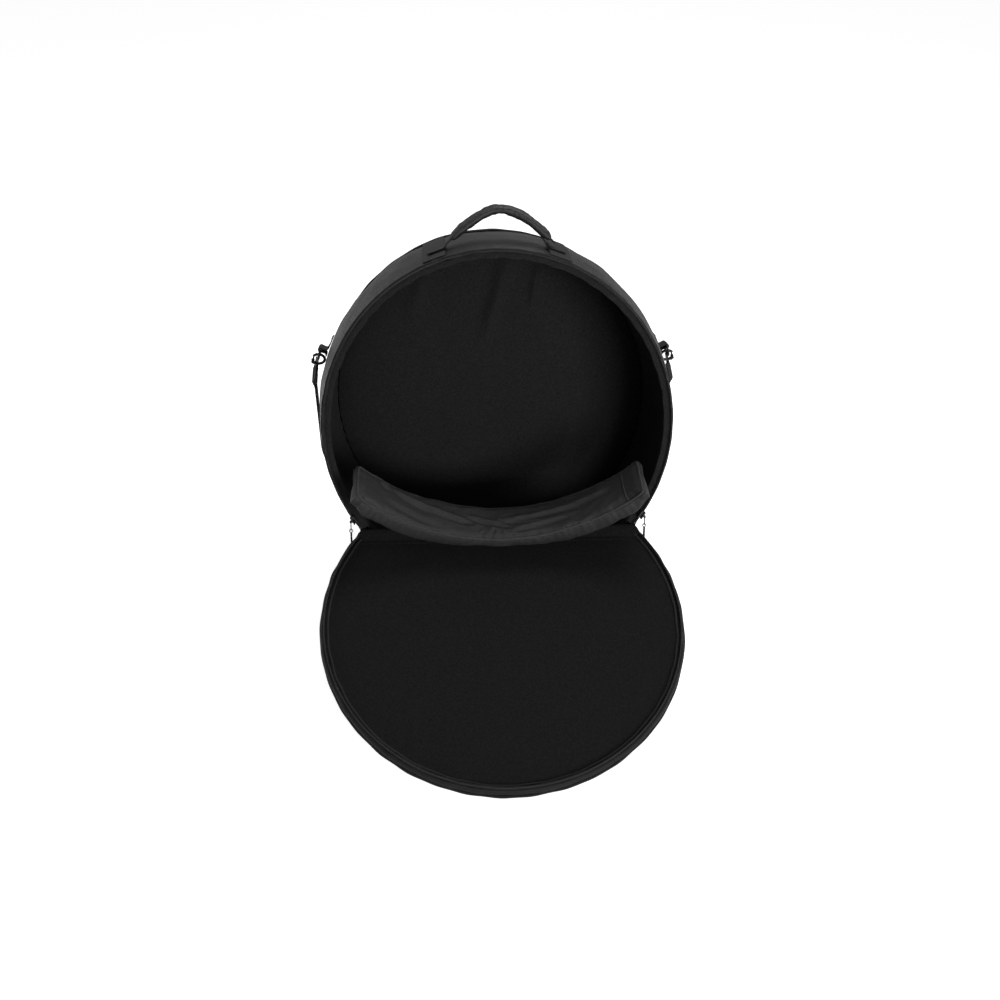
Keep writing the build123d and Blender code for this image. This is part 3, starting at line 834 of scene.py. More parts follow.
def lid_floor():
    """Fleece inside of the lid, which turns up at its round edge towards the zip tape."""
    low = lid_low(LID_LINING_Y) + 0.001
    radius = RIM_R - 0.0032

    def depth(x, z, edge):
        points = stack(x, 0, z)
        round_edge = radius - np.hypot(x, z)
        rise = 0.0040 * np.exp(-(round_edge / 0.005) ** 2)
        plump = 0.0022 * (1 - np.exp(-edge / 0.03))
        folds = creases(x, z, [(0.0020, (-0.155, 0.225), (-0.150, 0.170), 0.006),
                               (0.0016, (0.060, -0.110), (0.170, -0.060), 0.012),
                               (0.0014, (-0.200, -0.080), (-0.110, -0.120), 0.012)])
        slack = (0.0006 * waves(points, 111, 0.15) + 0.0002 * waves(points, 112, 0.05))
        pucker = 0.0006 * around(np.arctan2(z, x), 113, 60, 120) * np.exp(-round_edge / 0.015)
        inside = np.clip(edge / 0.02, 0, 1)
        return LID_LINING_Y - 0.0004 + rise + (plump + folds + slack) * inside + pucker * inside

    # The lid's fleece is painted darker than the bag's: painted shade.
    obj = round_panel("lid_floor_lining", radius, depth, LID, LID_FLEECE_PAINTED_SHADE, LINING_CLOTH, (0, 1.0, 0), low)
    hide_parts("lid_lining")
    return finish_piece(obj, "lid")


def lid_edge():
    low, high = local_box("lid_side_band", LID)
    outer = high[0]
    front, back = low[1], high[1]
    middle = (front + back) / 2
    inner = RIM_R - 0.0030
    outline = [(inner, front), (outer - 0.0030, front), (outer - 0.0006, front + 0.004),
               (outer, middle), (outer - 0.0008, back - 0.003), (outer - 0.0036, back + 0.0002),
               (inner + 0.0002, back + 0.0002), (inner, middle)]
    obj = flat_band("lid_side", outline, LID, LID_NYLON, 121, lid_start, 0.0006)
    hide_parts("lid_side_band")
    finish_piece(obj, "lid")
    for name, node, thick, radius, flange, seed in (
            ("lid_edge_piping", "lid_piping", 0.0024, RIM_R + 0.0038, 0.005, 131),
            ("lid_inner_piping", "lid_lining_piping", 0.0019, RIM_R - 0.008, 0.0, 133)):
        y = local_box(node, LID)[0][1] + thick
        start = lid_start(radius, y)
        piping(name, radius, y, start, math.pi - start, LID, thick, False, seed, node, "lid", flange)
    zip_tape("lid_tape", "lid_zip_tape", LID, lid_start, "lid", 141)
    _, teeth_high = local_box("lid_zip_teeth", LID)
    start = lid_start(RIM_R - 0.002, teeth_high[1] - 0.002)
    coil("lid_coil", "lid_zip_teeth", LID, start, math.pi - start, "lid")
    centres, _, rise = ring_path(RIM_R - 0.0012, back + 0.0006, start + 0.03, math.pi - start - 0.03, 700)
    sew("lid_tape_stitches", centres, rise, LID, "lid", "zip_teeth")


def fold_strip(name, profile, material, nodes, seed, thickness=0.0014):
    """Cloth across the fold. profile lists depth and height about the hinge, lid open, and half width."""
    step = 0.0012
    line = resample(profile, step)
    share = np.linspace(-1, 1, 260)
    rows = []
    for k, (y, z, half) in enumerate(line):
        x = share * half
        lift = 0.0003 * waves(stack(x, 0.004 * k, 0), seed, 0.03) * math.sin(math.pi * k / (len(line) - 1))
        rows.append(stack(x, y - lift, HINGE.z + z + lift))
    points = np.array(rows)
    uv = np.stack([points[..., 0], np.arange(len(line))[:, None] * step + 0 * points[..., 0]], -1)
    obj = sheet(name, points, uv, BAG, material, thickness, toward=(0, -1.0, 0.3))
    if nodes:
        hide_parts(*nodes)
    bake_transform(obj)
    return obj


def fold():
    """Lining and outer cloth across the straight fold between bag and lid, as wide as the round there."""
    cos, sin = math.cos(LID_OPEN), math.sin(LID_OPEN)

    def half_at(height):
        return math.sqrt((RIM_R + 0.0006) ** 2 - (FOLD_Z + height) ** 2)

    def on_bag(y, z, tuck=0.0):
        return (y, z, half_at(z) - tuck)

    def on_lid(y, z, tuck=0.0):
        """Point of the shut lid, about the hinge, after the lid has swung open."""
        return (y * cos - z * sin, y * sin + z * cos, half_at(z) - tuck)

    lining_start = lid_low(LID_LINING_Y) - FOLD_Z
    inner = [on_bag(FRONT_Y + 0.003, -0.012, 0.010), on_bag(FRONT_Y + 0.003, -0.004, 0.006),
             on_bag(0.008, 0.0, 0.003), on_bag(0.003, 0.0012), on_bag(-0.0005, -0.0005),
             on_lid(-0.002, 0.0052), on_lid(LID_LINING_Y * 0.6, lining_start * 0.75),
             on_lid(LID_LINING_Y + 0.0006, lining_start + 0.001, 0.002),
             on_lid(LID_LINING_Y + 0.0010, lining_start + 0.008, 0.006)]
    # The fold's lining uses the lid's fleece, painted darker as painted shade.
    fold_strip("fold_lining", inner, LID_FLEECE_PAINTED_SHADE, ("hinge_panel",),
               151)
    face_start = lid_low(LID_FACE_Y) - FOLD_Z
    outer = [on_bag(0.0004, -0.014), on_bag(-0.0002, -0.004), on_bag(-0.0006, -0.0022),
             on_lid(-0.0030, 0.0050), on_lid(LID_FACE_Y * 0.5, face_start * 0.52),
             on_lid(LID_FACE_Y - 0.0004, face_start + 0.0004)]
    fold_strip("fold_cover", outer, LID_NYLON, (), 153)


# ------------------------------------------------------------------ bolster
BOLSTER_LOW, BOLSTER_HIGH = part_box("bolster_cover")
BOLSTER_HALF_BEND = math.radians(44.4)
BOLSTER_THICK = 0.018
BEND_R = BOLSTER_HIGH.x / math.sin(BOLSTER_HALF_BEND) - BOLSTER_THICK / 2
BEND_TOP = Vector((0, 0, BOLSTER_LOW.z + BEND_R + BOLSTER_THICK / 2))
BOLSTER_MID_Y = (BOLSTER_LOW.y + BOLSTER_HIGH.y) / 2
BOLSTER_HALF_W = (BOLSTER_HIGH.y - BOLSTER_LOW.y) / 2
BOLSTER_SWELL = 0.0030     # furthest a point may travel when the pad is blown up
BOLSTER_VOXEL = 0.0042     # mesh size it is blown up with
BOLSTER_PRESSURE = 3.2
CORD_R = 0.0017            # cord round its top edge
ROW = Matrix.Identity(4)


def bend_path(radius, half_bend, count):
    """Centres and directions along the bolster's bend; side runs in depth, rise away from its axis."""
    t = np.linspace(-half_bend, half_bend, count)
    centres = stack(radius * np.sin(t), BOLSTER_MID_Y, BEND_TOP.z - radius * np.cos(t))
    side = stack(0 * t, 1, 0)
    rise = stack(-np.sin(t), 0, np.cos(t))
    return centres, side, rise


def points_of(obj):
    co = np.zeros(len(obj.data.vertices) * 3)
    obj.data.vertices.foreach_get("co", co)
    return co.reshape(-1, 3)


def set_points(obj, co):
    obj.data.vertices.foreach_set("co", np.asarray(co, np.float32).ravel())
    obj.data.update()


def normals_of(obj):
    co = np.zeros(len(obj.data.vertices) * 3)
    obj.data.vertices.foreach_get("normal", co)
    return co.reshape(-1, 3)


def inflate(obj, cap, voxel, pressure, frames=20, shrink=-0.02):
    """Remesh a closed pad evenly, blow it up as cloth, and limit how far any point travels."""
    remesh = obj.modifiers.new("even", "REMESH")
    remesh.mode = "VOXEL"
    remesh.voxel_size = voxel
    bake(obj)
    before = points_of(obj)
    cloth = obj.modifiers.new("cloth", "CLOTH")
    settings = cloth.settings
    settings.quality = 6
    settings.mass = 0.2
    settings.tension_stiffness = 18
    settings.compression_stiffness = 14
    settings.shear_stiffness = 8
    settings.bending_stiffness = 0.6
    settings.use_pressure = True
    settings.uniform_pressure_force = pressure
    settings.shrink_min = shrink
    settings.effector_weights.gravity = 0.0
    cloth.collision_settings.use_self_collision = False
    cloth.point_cache.frame_start = 1
    cloth.point_cache.frame_end = frames
    for step in range(1, frames + 1):
        bpy.context.scene.frame_set(step)
    bake(obj)
    travel = points_of(obj) - before
    length = np.linalg.norm(travel, axis=1, keepdims=True)
    set_points(obj, before + travel * np.minimum(1.0, cap / np.maximum(length, 1e-9)))
    bpy.context.scene.frame_set(1)
    smooth = obj.modifiers.new("even_out", "SMOOTH")
    smooth.factor = 0.5
    smooth.iterations = 1
    fine = obj.modifiers.new("finer", "SUBSURF")
    fine.levels = fine.render_levels = 1
    return bake(obj)


def box_uv(obj, axes):
    """UV map in metres from the row frame's axes, such as (0, 1) for X and Y."""
    mesh = obj.data
    layer = mesh.uv_layers.get("UVMap") or mesh.uv_layers.new(name="UVMap")
    co = points_of(obj)
    index = np.zeros(len(mesh.loops), int)
    mesh.loops.foreach_get("vertex_index", index)
    layer.data.foreach_set("uv", co[index][:, list(axes)].ravel())


def bolster_coordinates(co):
    """Place along the bend, place across it (towards the back), both in metres."""
    along = np.arctan2(co[:, 0], BEND_TOP.z - co[:, 2]) * BEND_R
    return along, co[:, 1] - BOLSTER_MID_Y


def hang_front_wall(obj):
    """Let the padded front wall hang lower on both sides of the middle, where nothing carries it."""
    sag, reach = 0.0095, 0.045
    co = points_of(obj)
    s, t = bolster_coordinates(co)
    bend = s / BEND_R
    below = np.clip((np.hypot(co[:, 0], BEND_TOP.z - co[:, 2]) - BEND_R) / BOLSTER_THICK + 0.5, 0, 1)
    near_front = np.clip((reach - BOLSTER_HALF_W - t) / (0.8 * reach), 0, 1)
    away = np.abs(bend) / BOLSTER_HALF_BEND
    drop = sag * np.clip((away - 0.10) / 0.35, 0, 1) * np.clip((1 - away) / 0.12, 0.25, 1)
    outwards = stack(np.sin(bend), 0 * bend, -np.cos(bend))
    set_points(obj, co + outwards * (drop * below * near_front)[:, None])


def bolster():
    """Padded bolster: blown up as cloth, then its long drag lines, gathers and end pinches."""
    centres, side, rise = bend_path(BEND_R, BOLSTER_HALF_BEND - 0.006, 60)
    outline = oval(BOLSTER_HALF_W - 0.001, BOLSTER_THICK / 2 - 0.0008, 36, 0.24)
    obj = sweep("bolster", centres, side, rise, outline, ROW, BOLSTER_NYLON)
    inflate(obj, BOLSTER_SWELL, BOLSTER_VOXEL, BOLSTER_PRESSURE)
    fine = obj.modifiers.new("finest", "SUBSURF")
    fine.levels = fine.render_levels = 1
    bake(obj)
    hang_front_wall(obj)
    co, normal = points_of(obj), normals_of(obj)
    s, t = bolster_coordinates(co)
    top = np.clip(-normal[:, 0] * np.sin(s / BEND_R) + normal[:, 2] * np.cos(s / BEND_R), 0, 1)
    front = np.clip(-normal[:, 1], 0, 1)
    half = BOLSTER_HALF_BEND * BEND_R
    lines = [((-0.195, 0.016), (-0.050, -0.010), 0.0050, 0.0058),
             ((-0.060, 0.006), (0.020, -0.020), 0.0045, 0.0034),
             ((0.000, -0.006), (0.200, 0.004), 0.0055, 0.0060),
             ((0.030, -0.030), (0.120, -0.020), 0.0045, 0.0044),
             ((-0.210, -0.020), (-0.110, -0.034), 0.0065, 0.0026),
             ((-0.235, 0.040), (-0.205, 0.012), 0.0050, 0.0034),
             ((0.070, 0.036), (0.180, 0.030), 0.0060, 0.0022),
             ((-0.018, -0.050), (-0.010, -0.020), 0.0038, 0.0026),
             ((0.004, -0.050), (0.000, -0.014), 0.0034, 0.0024),
             ((-0.034, -0.048), (-0.030, -0.030), 0.0036, 0.0020)]
    sunk = sum(depth * crease(s, t, start, end, width) for start, end, width, depth in lines)
    proud = sum(0.6 * depth * crease(s, t, (start[0], start[1] + 2.2 * width), (end[0], end[1] + 2.2 * width),
                                     width) for start, end, width, depth in lines)
    points = stack(s, t, 0)
    slack = 0.0009 * waves(points, 161, 0.07) + 0.0004 * waves(points, 162, 0.022)
    gathers = 0.0003 * np.sin(s * TAU / 0.012 + 2.0 * waves(points, 163, 0.05)) * np.exp(
        -(BOLSTER_HALF_W - np.abs(t)) / 0.008)
    end_pinch = 0.0030 * np.exp(-((half - np.abs(s)) / 0.012) ** 2) * np.exp(-((t - 0.020) / 0.012) ** 2)
    lift = top * (proud - sunk - end_pinch) + slack + gathers * (top + front)
    set_points(obj, co + normal * lift[:, None])
    box_uv(obj, (0, 1))
    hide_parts("bolster_cover", "bolster_foam")
    finish_piece(obj, "bolster")

    tree = BVHTree.FromObject(obj, bpy.context.evaluated_depsgraph_get())
    piping_round(tree, half)
    bolster_end(tree, half)
    return obj


def on_bolster(tree, s, t, lift):
    """Point of the padded top at a place along and across the bend, raised by `lift`, and its normal."""
    bend = s / BEND_R
    r = BEND_R - BOLSTER_THICK / 2 - 0.002
    start = Vector((r * math.sin(bend), BOLSTER_MID_Y + t, BEND_TOP.z - r * math.cos(bend)))
    up = Vector((-math.sin(bend), 0, math.cos(bend)))
    hit = tree.ray_cast(start + up * 0.02, -up)
    place, normal = (hit[0], hit[1]) if hit[0] is not None else tree.find_nearest(start)[:2]
    return np.array(place + normal * lift), np.array(normal)


def bolster_end(tree, half):
    """Open right-hand end: the fleece inside shows, framed by a piped edge."""
    s0, s1 = half - 0.036, half - 0.007
    t0, t1 = -BOLSTER_HALF_W + 0.009, BOLSTER_HALF_W - 0.009
    grid = np.array([[on_bolster(tree, s, t, 0.0012)[0] for s in np.linspace(s0, s1, 26)]
                     for t in np.linspace(t0, t1, 70)])
    uv = grid[..., :2].copy()
    patch = sheet("bolster_open_end", grid, uv, ROW, FLEECE, 0.0010, toward=(0, 0, 1.0))
    finish_piece(patch, "bolster")
    border = [on_bolster(tree, s0 - 0.0005, t, 0.0008) for t in np.linspace(t0, t1, 60)]
    line = np.array([place for place, _ in border])
    outward = np.array([normal for _, normal in border])
    side, rise = path_frame(line, outward)
    rope = sweep("bolster_end_piping", line, side, rise, oval(0.0017, 0.0015, 10), ROW, BOLSTER_NYLON)
    finish_piece(rope, "bolster")


def piping_round(tree, half):
    """Piped seam round the bolster's top edge, laid on the padded surface."""
    inset, corner = 0.0022, 0.006
    a, b = half - inset, BOLSTER_HALF_W - inset
    corners = [(a - corner, -b), (a, -b + corner), (a, b - corner), (a - corner, b),
               (-a + corner, b), (-a, b - corner), (-a, -b + corner), (-a + corner, -b)]
    flat = np.array([(s, t, 0.0) for s, t in corners + corners[:1]])
    flat = resample(flat, 0.004)[:-1]
    line, outward = [], []
    for s, t, _ in flat:
        bend = s / BEND_R
        r = BEND_R - BOLSTER_THICK / 2 + 0.001
        guess = Vector((r * math.sin(bend), BOLSTER_MID_Y + t, BEND_TOP.z - r * math.cos(bend)))
        place, normal, _, _ = tree.find_nearest(guess)
        line.append(place)
        outward.append(normal)
    line = np.array([tuple(p) for p in line])
    for _ in range(3):
        line = (np.roll(line, 1, 0) + 2 * line + np.roll(line, -1, 0)) / 4
    outward = np.array([tuple(n) for n in outward])
    tangent = np.roll(line, -1, 0) - np.roll(line, 1, 0)
    tangent /= np.linalg.norm(tangent, axis=1, keepdims=True)
    side = np.cross(outward, tangent)
    side /= np.linalg.norm(side, axis=1, keepdims=True)
    rise = np.cross(tangent, side)
    # The cord's paler colour is a painted highlight along the piped ridge.
    rope = sweep("bolster_piping", line + rise * 0.0007, side, rise, oval(CORD_R, CORD_R, 10), ROW,
                 BOLSTER_CORD_PAINTED_HIGHLIGHT, closed=True)
    finish_piece(rope, "bolster")
    sew("bolster_stitches", line[:-1] - side[:-1] * 0.0040 + rise[:-1] * 0.0002, rise[:-1], ROW,
        "bolster", "bolster_nylon", pitch=0.005)


# ------------------------------------------------------------------ carry handle
def handle_line(count=160, reach=1.0):
    """Slightly pointed arch of the handle between its sewn ends."""
    t = np.linspace(-reach, reach, count)
    base, top = PIVOT_Z + 0.0003, HANDLE_HIGH[2] + 0.001
    tip = 0.012
    bend = (np.sqrt(t * t + tip) - math.sqrt(tip)) / (math.sqrt(1 + tip) - math.sqrt(tip))
    lean, spread = 0.0065, 1.06      # the arch stands a little to the right and bows out past its ends
    across = lean + HANDLE_HALF * spread * t
    return stack(across, HANDLE_Y, base + (top - base) * (1 - bend ** 1.45))


def handle():
    line = handle_line()
    side, rise = path_frame(line, (0, 0, 1))
    web = sweep("handle_webbing_strap", line, side, rise, oval(WEB_HALF, 0.0014, 20, 0.4), BAG, WEBBING)
    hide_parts("handle_webbing")
    finish_piece(web, "handle")

    sleeve_reach = 0.915       # share of the arch that is padded, so its ends clear the patches
    line = handle_line(240, sleeve_reach)
    side, rise = path_frame(line, (0, 0, 1))
    share = np.linspace(-1, 1, len(line))
    swell = (1 - np.abs(share) ** 12) ** 0.5
    pinch = 1 - 0.14 * np.exp(-((share - 0.04) / 0.06) ** 2)
    ripples = 1 + 0.05 * np.sin(share * 38) * np.exp(-np.abs(share) * 2.5)
    thick = (0.0022 + 0.0056 * swell) * pinch * ripples
    wide = 0.0130 + 0.0045 * swell
    base = oval(1.0, 1.0, 36, 0.72)
    outline = np.stack([base[None, :, 0] * wide[:, None], base[None, :, 1] * thick[:, None]], -1)
    sleeve = sweep("handle_grip", line, side, rise, outline, BAG, GRIP_NYLON)
    co, normal = points_of(sleeve), normals_of(sleeve)
    rumple = 0.0006 * waves(co, 171, 0.03) + 0.0003 * waves(co, 172, 0.011)
    set_points(sleeve, co + normal * rumple[:, None])
    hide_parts("handle_sleeve", "handle_foam")
    finish_piece(sleeve, "handle")
    for k, offset in enumerate((-0.0140, 0.0140)):
        seam = line[8:-8] + side[8:-8] * offset + rise[8:-8] * (thick[8:-8, None] * 0.72)
        sew(f"handle_stitches_{k + 1}", seam, rise[8:-8], BAG, "handle", "grip", pitch=0.004)


def handle_foot(sign):
    """End of the handle's webbing, led flat from its patch up to where the handle bends."""
    x0 = HANDLE_HALF
    wall = float(np.sqrt(wall_radius(np.array(HANDLE_Y)) ** 2 - x0 * x0)) + 0.0030
    line = [(x0 + 0.030, HANDLE_Y, wall - 0.0092), (x0 + 0.016, HANDLE_Y, wall - 0.0042),
            (x0 + 0.006, HANDLE_Y, wall - 0.0004), (x0 + 0.0012, HANDLE_Y, wall + 0.0030),
            (x0 - 0.0006, HANDLE_Y, PIVOT_Z - 0.0005)]
    line = resample(mirror_x(sign, line), 0.001)
    return ribbon(f"handle_foot_{sign}", line, WEB_HALF, 0.0016, BAG)


def patches():
    """Webbing bands that cross the gusset and hold the handle's ends, with box and cross seams."""
    low, high = local_box("handle_patches", BAG)
    outer = high[0]
    inner = HANDLE_HALF
    middle = (inner + outer) / 2
    half = (outer - inner) / 2
    bands = []
    for sign in (-1, 1):
        y = np.linspace(low[1], high[1], 90)
        x = sign * middle
        z = np.sqrt(wall_radius(y) ** 2 - x * x) + 0.0009
        line = stack(x, y, z)
        hint = stack(x, 0 * y, z) / RIM_R
        side, rise = path_frame(line, hint)
        bands.append(sweep(f"patch_{sign}", line, side, rise, oval(half, 0.0013, 20, 0.4), BAG, WEBBING))
        seam_half, seam_reach = half - 0.004, 0.020
        loop = [(-seam_half, -seam_reach), (seam_half, -seam_reach), (seam_half, seam_reach),
                (-seam_half, seam_reach), (-seam_half, -seam_reach), (seam_half, seam_reach)]
        flat = resample([(x + a, HANDLE_Y + b, 0) for a, b in loop], 0.002)
        flat[:, 2] = np.sqrt(wall_radius(flat[:, 1]) ** 2 - flat[:, 0] ** 2) + 0.0023
        outward = flat * (1, 0, 1)
        outward /= np.linalg.norm(outward, axis=1, keepdims=True)
        sew(f"patch_stitches_{1 if sign < 0 else 2}", flat, outward, BAG, "bag", "webbing")
        bands.append(handle_foot(sign))
    band = join("handle_patch_bands", bands)
    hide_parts("handle_patches")
    finish_piece(band, "bag")


# ------------------------------------------------------------------ ring tabs and shoulder strap
def ring_tab(name, sign):
    """Webbing sewn to the gusset, led out round the ring's bar and back."""
    centre = BAG.inverted() @ Vector(JOINTS[f"ring_{name}_swing"]["pos_m"])
    x, y, z = abs(centre.x), centre.y, centre.z
    surface = wall_radius(np.array(y)) + 0.0018
    angle = math.atan2(z, x)

    def on_wall(step, lift=0.0):
        a = angle + step
        return ((surface + lift) * math.cos(a), y, (surface + lift) * math.sin(a))

    out = Vector((math.cos(angle), 0, math.sin(angle)))
    across = Vector((-out.z, 0, out.x))
    ring = Vector((x, y, z))
    wrap = 0.0036
    line = [on_wall(0.088), on_wall(0.050), on_wall(0.020, 0.0004), on_wall(0.009, 0.003)]
    line += [tuple(ring - out * 0.007 + across * 0.0026)]
    for turn in np.linspace(110, -110, 14):
        a = math.radians(turn)
        line.append(tuple(ring + (out * math.cos(a) + across * math.sin(a)) * wrap))
    line += [tuple(ring - out * 0.007 - across * 0.0026)]
    line += [on_wall(-0.009, 0.003), on_wall(-0.016, 0.0006), on_wall(-0.024)]
    line = resample(mirror_x(sign, line), 0.0011)
    obj = ribbon(f"ring_tab_webbing_{name}", line, TAB_HALF, 0.0011, BAG, 18)
    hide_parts(f"ring_tab_{name}")
    finish_piece(obj, "bag")
    for k, step in enumerate((0.078, 0.030)):
        row = [mirror_x(sign, on_wall(step, 0.0013)) + (0, b, 0) for b in np.linspace(-0.014, 0.014, 12)]
        outward = np.tile(mirror_x(sign, (math.cos(angle + step), 0, math.sin(angle + step))), (12, 1))
        sew(f"tab_stitches_{name}_{k + 1}", row, outward, BAG, "bag", "webbing")


def strap_frame():
    """Matrix from the hanging strap's frame (Z back up its legs) to the row frame."""
    down = Vector(JOINTS["strap_adjuster_slide"]["axis"]).normalized()
    right = Vector((1, 0, 0))
    depth = (-down).cross(right)
    turn = Matrix((right, depth, -down)).transposed().to_4x4()
    return Matrix.Translation(JOINTS["strap_swing"]["pos_m"]) @ turn


STRAP = strap_frame()


def strap():
    low, high = local_box("strap_webbing", STRAP)
    eye_low, _ = local_box("swivel_eye_right", STRAP)
    slide_low, slide_high = local_box("strap_adjuster", STRAP)
    leg_x = (slide_low[0] + slide_high[0]) / 2
    bar_z = eye_low[2] + 0.0025
    half_w = (high[1] - low[1]) / 2
    bowl = 0.210
    leg_end = low[2] + 0.00125 + bowl
    wrap = 0.0039
    tail = 0.0145
    turns = np.radians(np.linspace(-80, 245, 22))

    right_leg = [(leg_x - 0.0028, 0, bar_z - tail)]
    right_leg += [(leg_x - 0.0028, 0, bar_z - 0.008)]
    right_leg += [(leg_x - wrap * math.cos(a) * 0.9, 0, bar_z + wrap * math.sin(a)) for a in turns[4:-4]]
    right_leg += [(leg_x + 0.0002, 0, bar_z - 0.012), (leg_x, 0, leg_end)]
    angle = np.linspace(0, -math.pi, 90)[1:-1]
    bottom = [(leg_x * math.cos(a), 0, leg_end + bowl * math.sin(a)) for a in angle]
    left_leg = [(-px, 0, pz) for px, _, pz in reversed(right_leg)]
    line = resample(right_leg + bottom + left_leg, 0.0022)
    obj = ribbon("shoulder_strap", line, half_w, 0.0011, STRAP, power=0.35)
    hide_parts("strap_webbing")
    finish_piece(obj, "strap")
    for sign in (-1, 1):
        for k, drop in enumerate((0.0090, 0.0125)):
            across = np.linspace(-half_w + 0.003, half_w - 0.003, 16)
            row = stack(sign * (leg_x + 0.0014), across, bar_z - drop)
            outward = np.tile((float(sign), 0.0, 0.0), (16, 1))
            side = "left" if sign < 0 else "right"
            sew(f"strap_stitches_{side}_{k + 1}", row, outward, STRAP, "strap", "webbing")
    shoulder_pad(leg_x, bowl, leg_end)


def shoulder_pad(leg_x, bowl, leg_end):
    """Curved pad round the bottom of the strap, quilted across, with a bound edge front and back."""
    low, high = local_box("shoulder_pad", STRAP)
    reach = math.asin(high[0] / leg_x)
    angle = np.linspace(-math.pi / 2 + reach, -math.pi / 2 - reach, 90)
    line = stack(leg_x * np.cos(angle), 0, leg_end + bowl * np.sin(angle))
    _, rise = path_frame(line, (0, 0, 1))
    side = np.tile((0.0, 1.0, 0.0), (len(line), 1))
    share = np.linspace(-1, 1, len(line))
    half_w = (high[1] - low[1]) / 2
    width = (half_w - 0.001) * (0.80 + 0.20 * (1 - np.abs(share) ** 6))
    thick = 0.0052 * (1 - np.abs(share) ** 14) ** 0.5 + 0.0006
    base = oval(1.0, 1.0, 28, 0.55)
    outline = np.stack([base[None, :, 0] * width[:, None], base[None, :, 1] * thick[:, None]], -1)
    obj = sweep("shoulder_pad_cover", line, side, rise, outline, STRAP, MESH)
    co, normal = points_of(obj), normals_of(obj)
    local = (co - np.array(STRAP.translation)) @ np.array(STRAP.to_3x3())
    quilt = np.abs(np.sin(local[:, 0] * TAU / 0.064)) ** 0.35
    inner = np.clip((half_w - np.abs(local[:, 1])) / 0.010, 0, 1)
    push = 0.0007 * waves(co, 181, 0.04) - 0.0012 * (1 - quilt) * inner
    set_points(obj, co + normal * push[:, None])
    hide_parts("shoulder_pad")
    finish_piece(obj, "strap")
    for sign, word in ((-1, "front"), (1, "back")):
        rim = line + np.array((0, sign, 0)) * (width[:, None] + 0.0006)
        rope = sweep(f"pad_binding_{word}", rim, side, rise, oval(0.0016, 0.0030, 12), STRAP, BINDING)
        finish_piece(rope, "strap")


# ------------------------------------------------------------------ hardware kept from the CAD
def smooth_edges(obj, width):
    """Round a CAD node's edges for the light, without touching its mesh."""
    bevel = obj.modifiers.new("round", "BEVEL")
    bevel.width = width
    bevel.segments = 2
    bevel.limit_method = "ANGLE"
    bevel.angle_limit = math.radians(40)
    bevel.harden_normals = False


def dress(node, material, width=0.0):
    obj = frame["nodes"][node]
    obj.data.materials.clear()
    obj.data.materials.append(material)
    obj.data.polygons.foreach_set("use_smooth", [True] * len(obj.data.polygons))
    if width:
        smooth_edges(obj, width)
    sharp = obj.modifiers.new("flat_faces", "WEIGHTED_NORMAL")
    sharp.keep_sharp = True


def hardware():
    dress("strap_adjuster", METAL, 0.0005)
    dress("zip_end_stops", METAL, 0.0003)
    for side in ("left", "right"):
        for node in (f"ring_{side}", f"hook_{side}", f"gate_{side}", f"gate_spring_{side}"):
            dress(node, METAL)
        dress(f"swivel_eye_{side}", METAL, 0.0006)
        dress(f"zip_slider_{side}", METAL, 0.0003)
        dress(f"puller_{side}", METAL, 0.0002)
        cord = ribbed(f"puller_tag_{side}_cord", 0.014, 0.0012, "Object")
        dress(f"puller_tag_{side}", cord, 0.0006)


# ------------------------------------------------------------------ studio
WORLD_LIGHT = 0.24      # strength of the surroundings as the bag receives it
WORLD_SEEN = 1.0        # strength of the surroundings as the camera sees them
FLOOR_GLOW = 0.75       # light added to the floor for the camera alone
LIGHTS = (              # name, place, what it is aimed at, width and height, watts
    ("key_light", (0.5, 0.6, 2.2), (0, 0.1, 0.4), (1.0, 0.8), 30),
    ("rim_light", (-1.8, 0.8, 1.3), (0, 0.1, 0.35), (1.0, 1.0), 12),
    ("front_light", (1.1, -2.5, 0.95), (-0.05, 0.25, 0.42), (1.1, 0.7), 62))


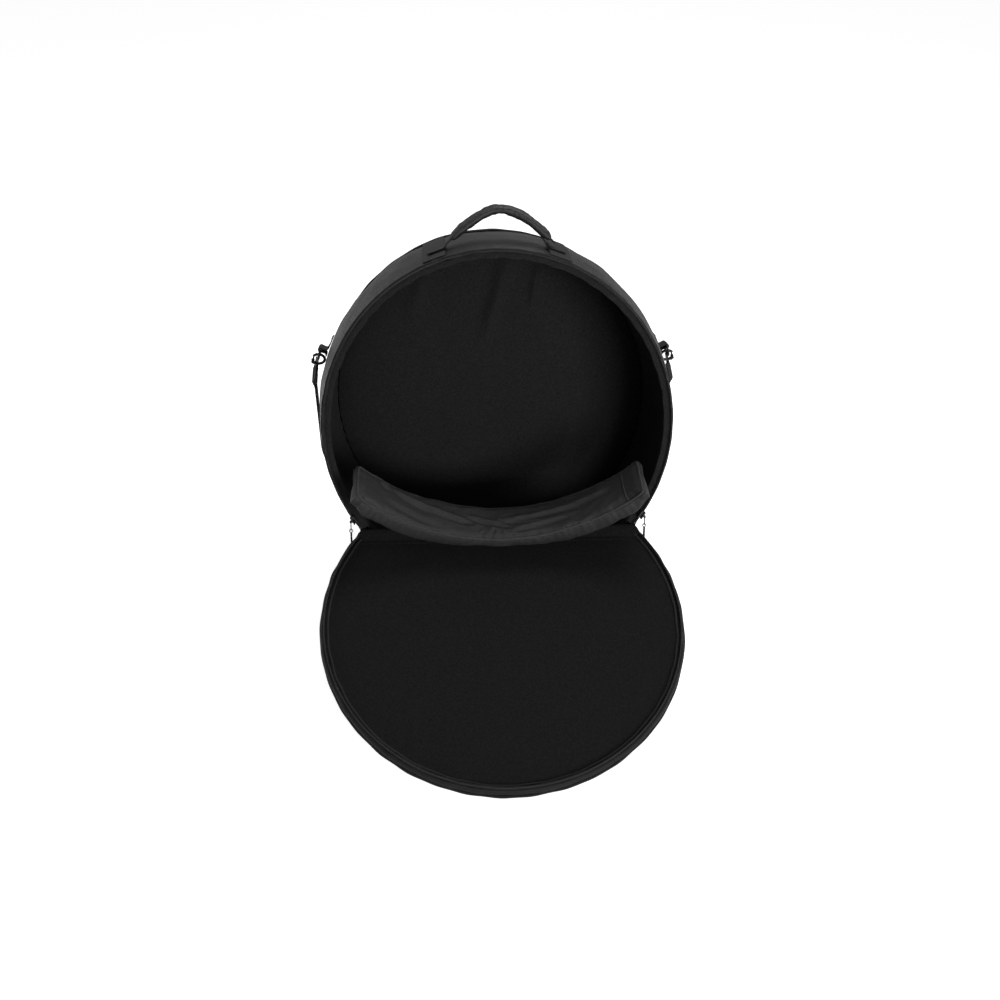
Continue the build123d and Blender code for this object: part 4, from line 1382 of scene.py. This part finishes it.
def studio():
    """White floor and surroundings with soft boxes. What the camera sees of them is kept near white."""
    bpy.ops.mesh.primitive_plane_add(size=60, location=(0, 0, cad_box[0][2] - 0.0005))
    floor = bpy.context.object
    floor.name = "studio_floor"
    paint = Nodes("studio_paper")
    grain = paint.noise(paint.coords("Object"), 30.0, 3.0)
    seen = paint.add("ShaderNodeLightPath").outputs["Is Camera Ray"]
    paint.set(Base_Color=paint.mix_colour(grain, grey(0.86), grey(0.89)), Roughness=0.9,
              Emission_Color=(1.0, 1.0, 1.0, 1.0), Emission_Strength=paint.math("MULTIPLY", seen, FLOOR_GLOW))
    floor.data.materials.append(paint.material)

    bpy.context.scene.view_settings.view_transform = "Standard"
    world = bpy.data.worlds.new("studio")
    bpy.context.scene.world = world
    world.use_nodes = True
    nodes, links = world.node_tree.nodes, world.node_tree.links
    path = nodes.new("ShaderNodeLightPath")
    level = nodes.new("ShaderNodeMapRange")
    level.inputs["To Min"].default_value = WORLD_LIGHT
    level.inputs["To Max"].default_value = WORLD_SEEN
    links.new(path.outputs["Is Camera Ray"], level.inputs["Value"])
    links.new(level.outputs["Result"], nodes["Background"].inputs["Strength"])
    nodes["Background"].inputs["Color"].default_value = (1.0, 1.0, 1.0, 1.0)

    for name, place, aim, size, watts in LIGHTS:
        light = bpy.data.lights.new(name, "AREA")
        light.shape = "RECTANGLE"
        light.size, light.size_y = size
        light.energy = watts
        obj = bpy.data.objects.new(name, light)
        bpy.context.scene.collection.objects.link(obj)
        obj.location = place
        obj.rotation_euler = (Vector(aim) - Vector(place)).to_track_quat("-Z", "Y").to_euler()


def camera():
    """Seen from in front, a little to the left, about 18 degrees above the mouth's own axis."""
    azimuth, elevation = math.radians(-3.27), math.radians(18.08)
    distance = 2.2
    sensor, lens = 36.0, 45.648      # millimetres
    target = BAG @ Vector((0.00244, 0.0, -0.12932))
    turn = BAG.to_3x3()
    back = turn @ Vector((math.sin(azimuth) * math.cos(elevation), -math.cos(azimuth) * math.cos(elevation),
                          math.sin(elevation)))
    right = turn @ Vector((math.cos(azimuth), math.sin(azimuth), 0))
    up = back.cross(right)
    data = bpy.data.cameras.new("camera")
    data.sensor_width, data.lens = sensor, lens
    obj = bpy.data.objects.new("camera", data)
    bpy.context.scene.collection.objects.link(obj)
    place = target + back * distance
    obj.matrix_world = Matrix.Translation(place) @ Matrix((right, up, back)).transposed().to_4x4()
    bpy.context.scene.camera = obj


# ------------------------------------------------------------------ build
gusset()
gusset_lining()
back_cover()
back_lining()
back_piping()
apron()
binding()
zip_tape("bag_tape", "body_zip_tape", BAG, bag_start, "bag", 95)
coil("bag_coil", "body_zip_teeth", BAG, ARC_START, ARC_END, "bag")
lid_face()
lid_floor()
lid_edge()
fold()
bolster()
handle()
patches()
ring_tab("right", 1)
ring_tab("left", -1)
strap()
hardware()
studio()
camera()
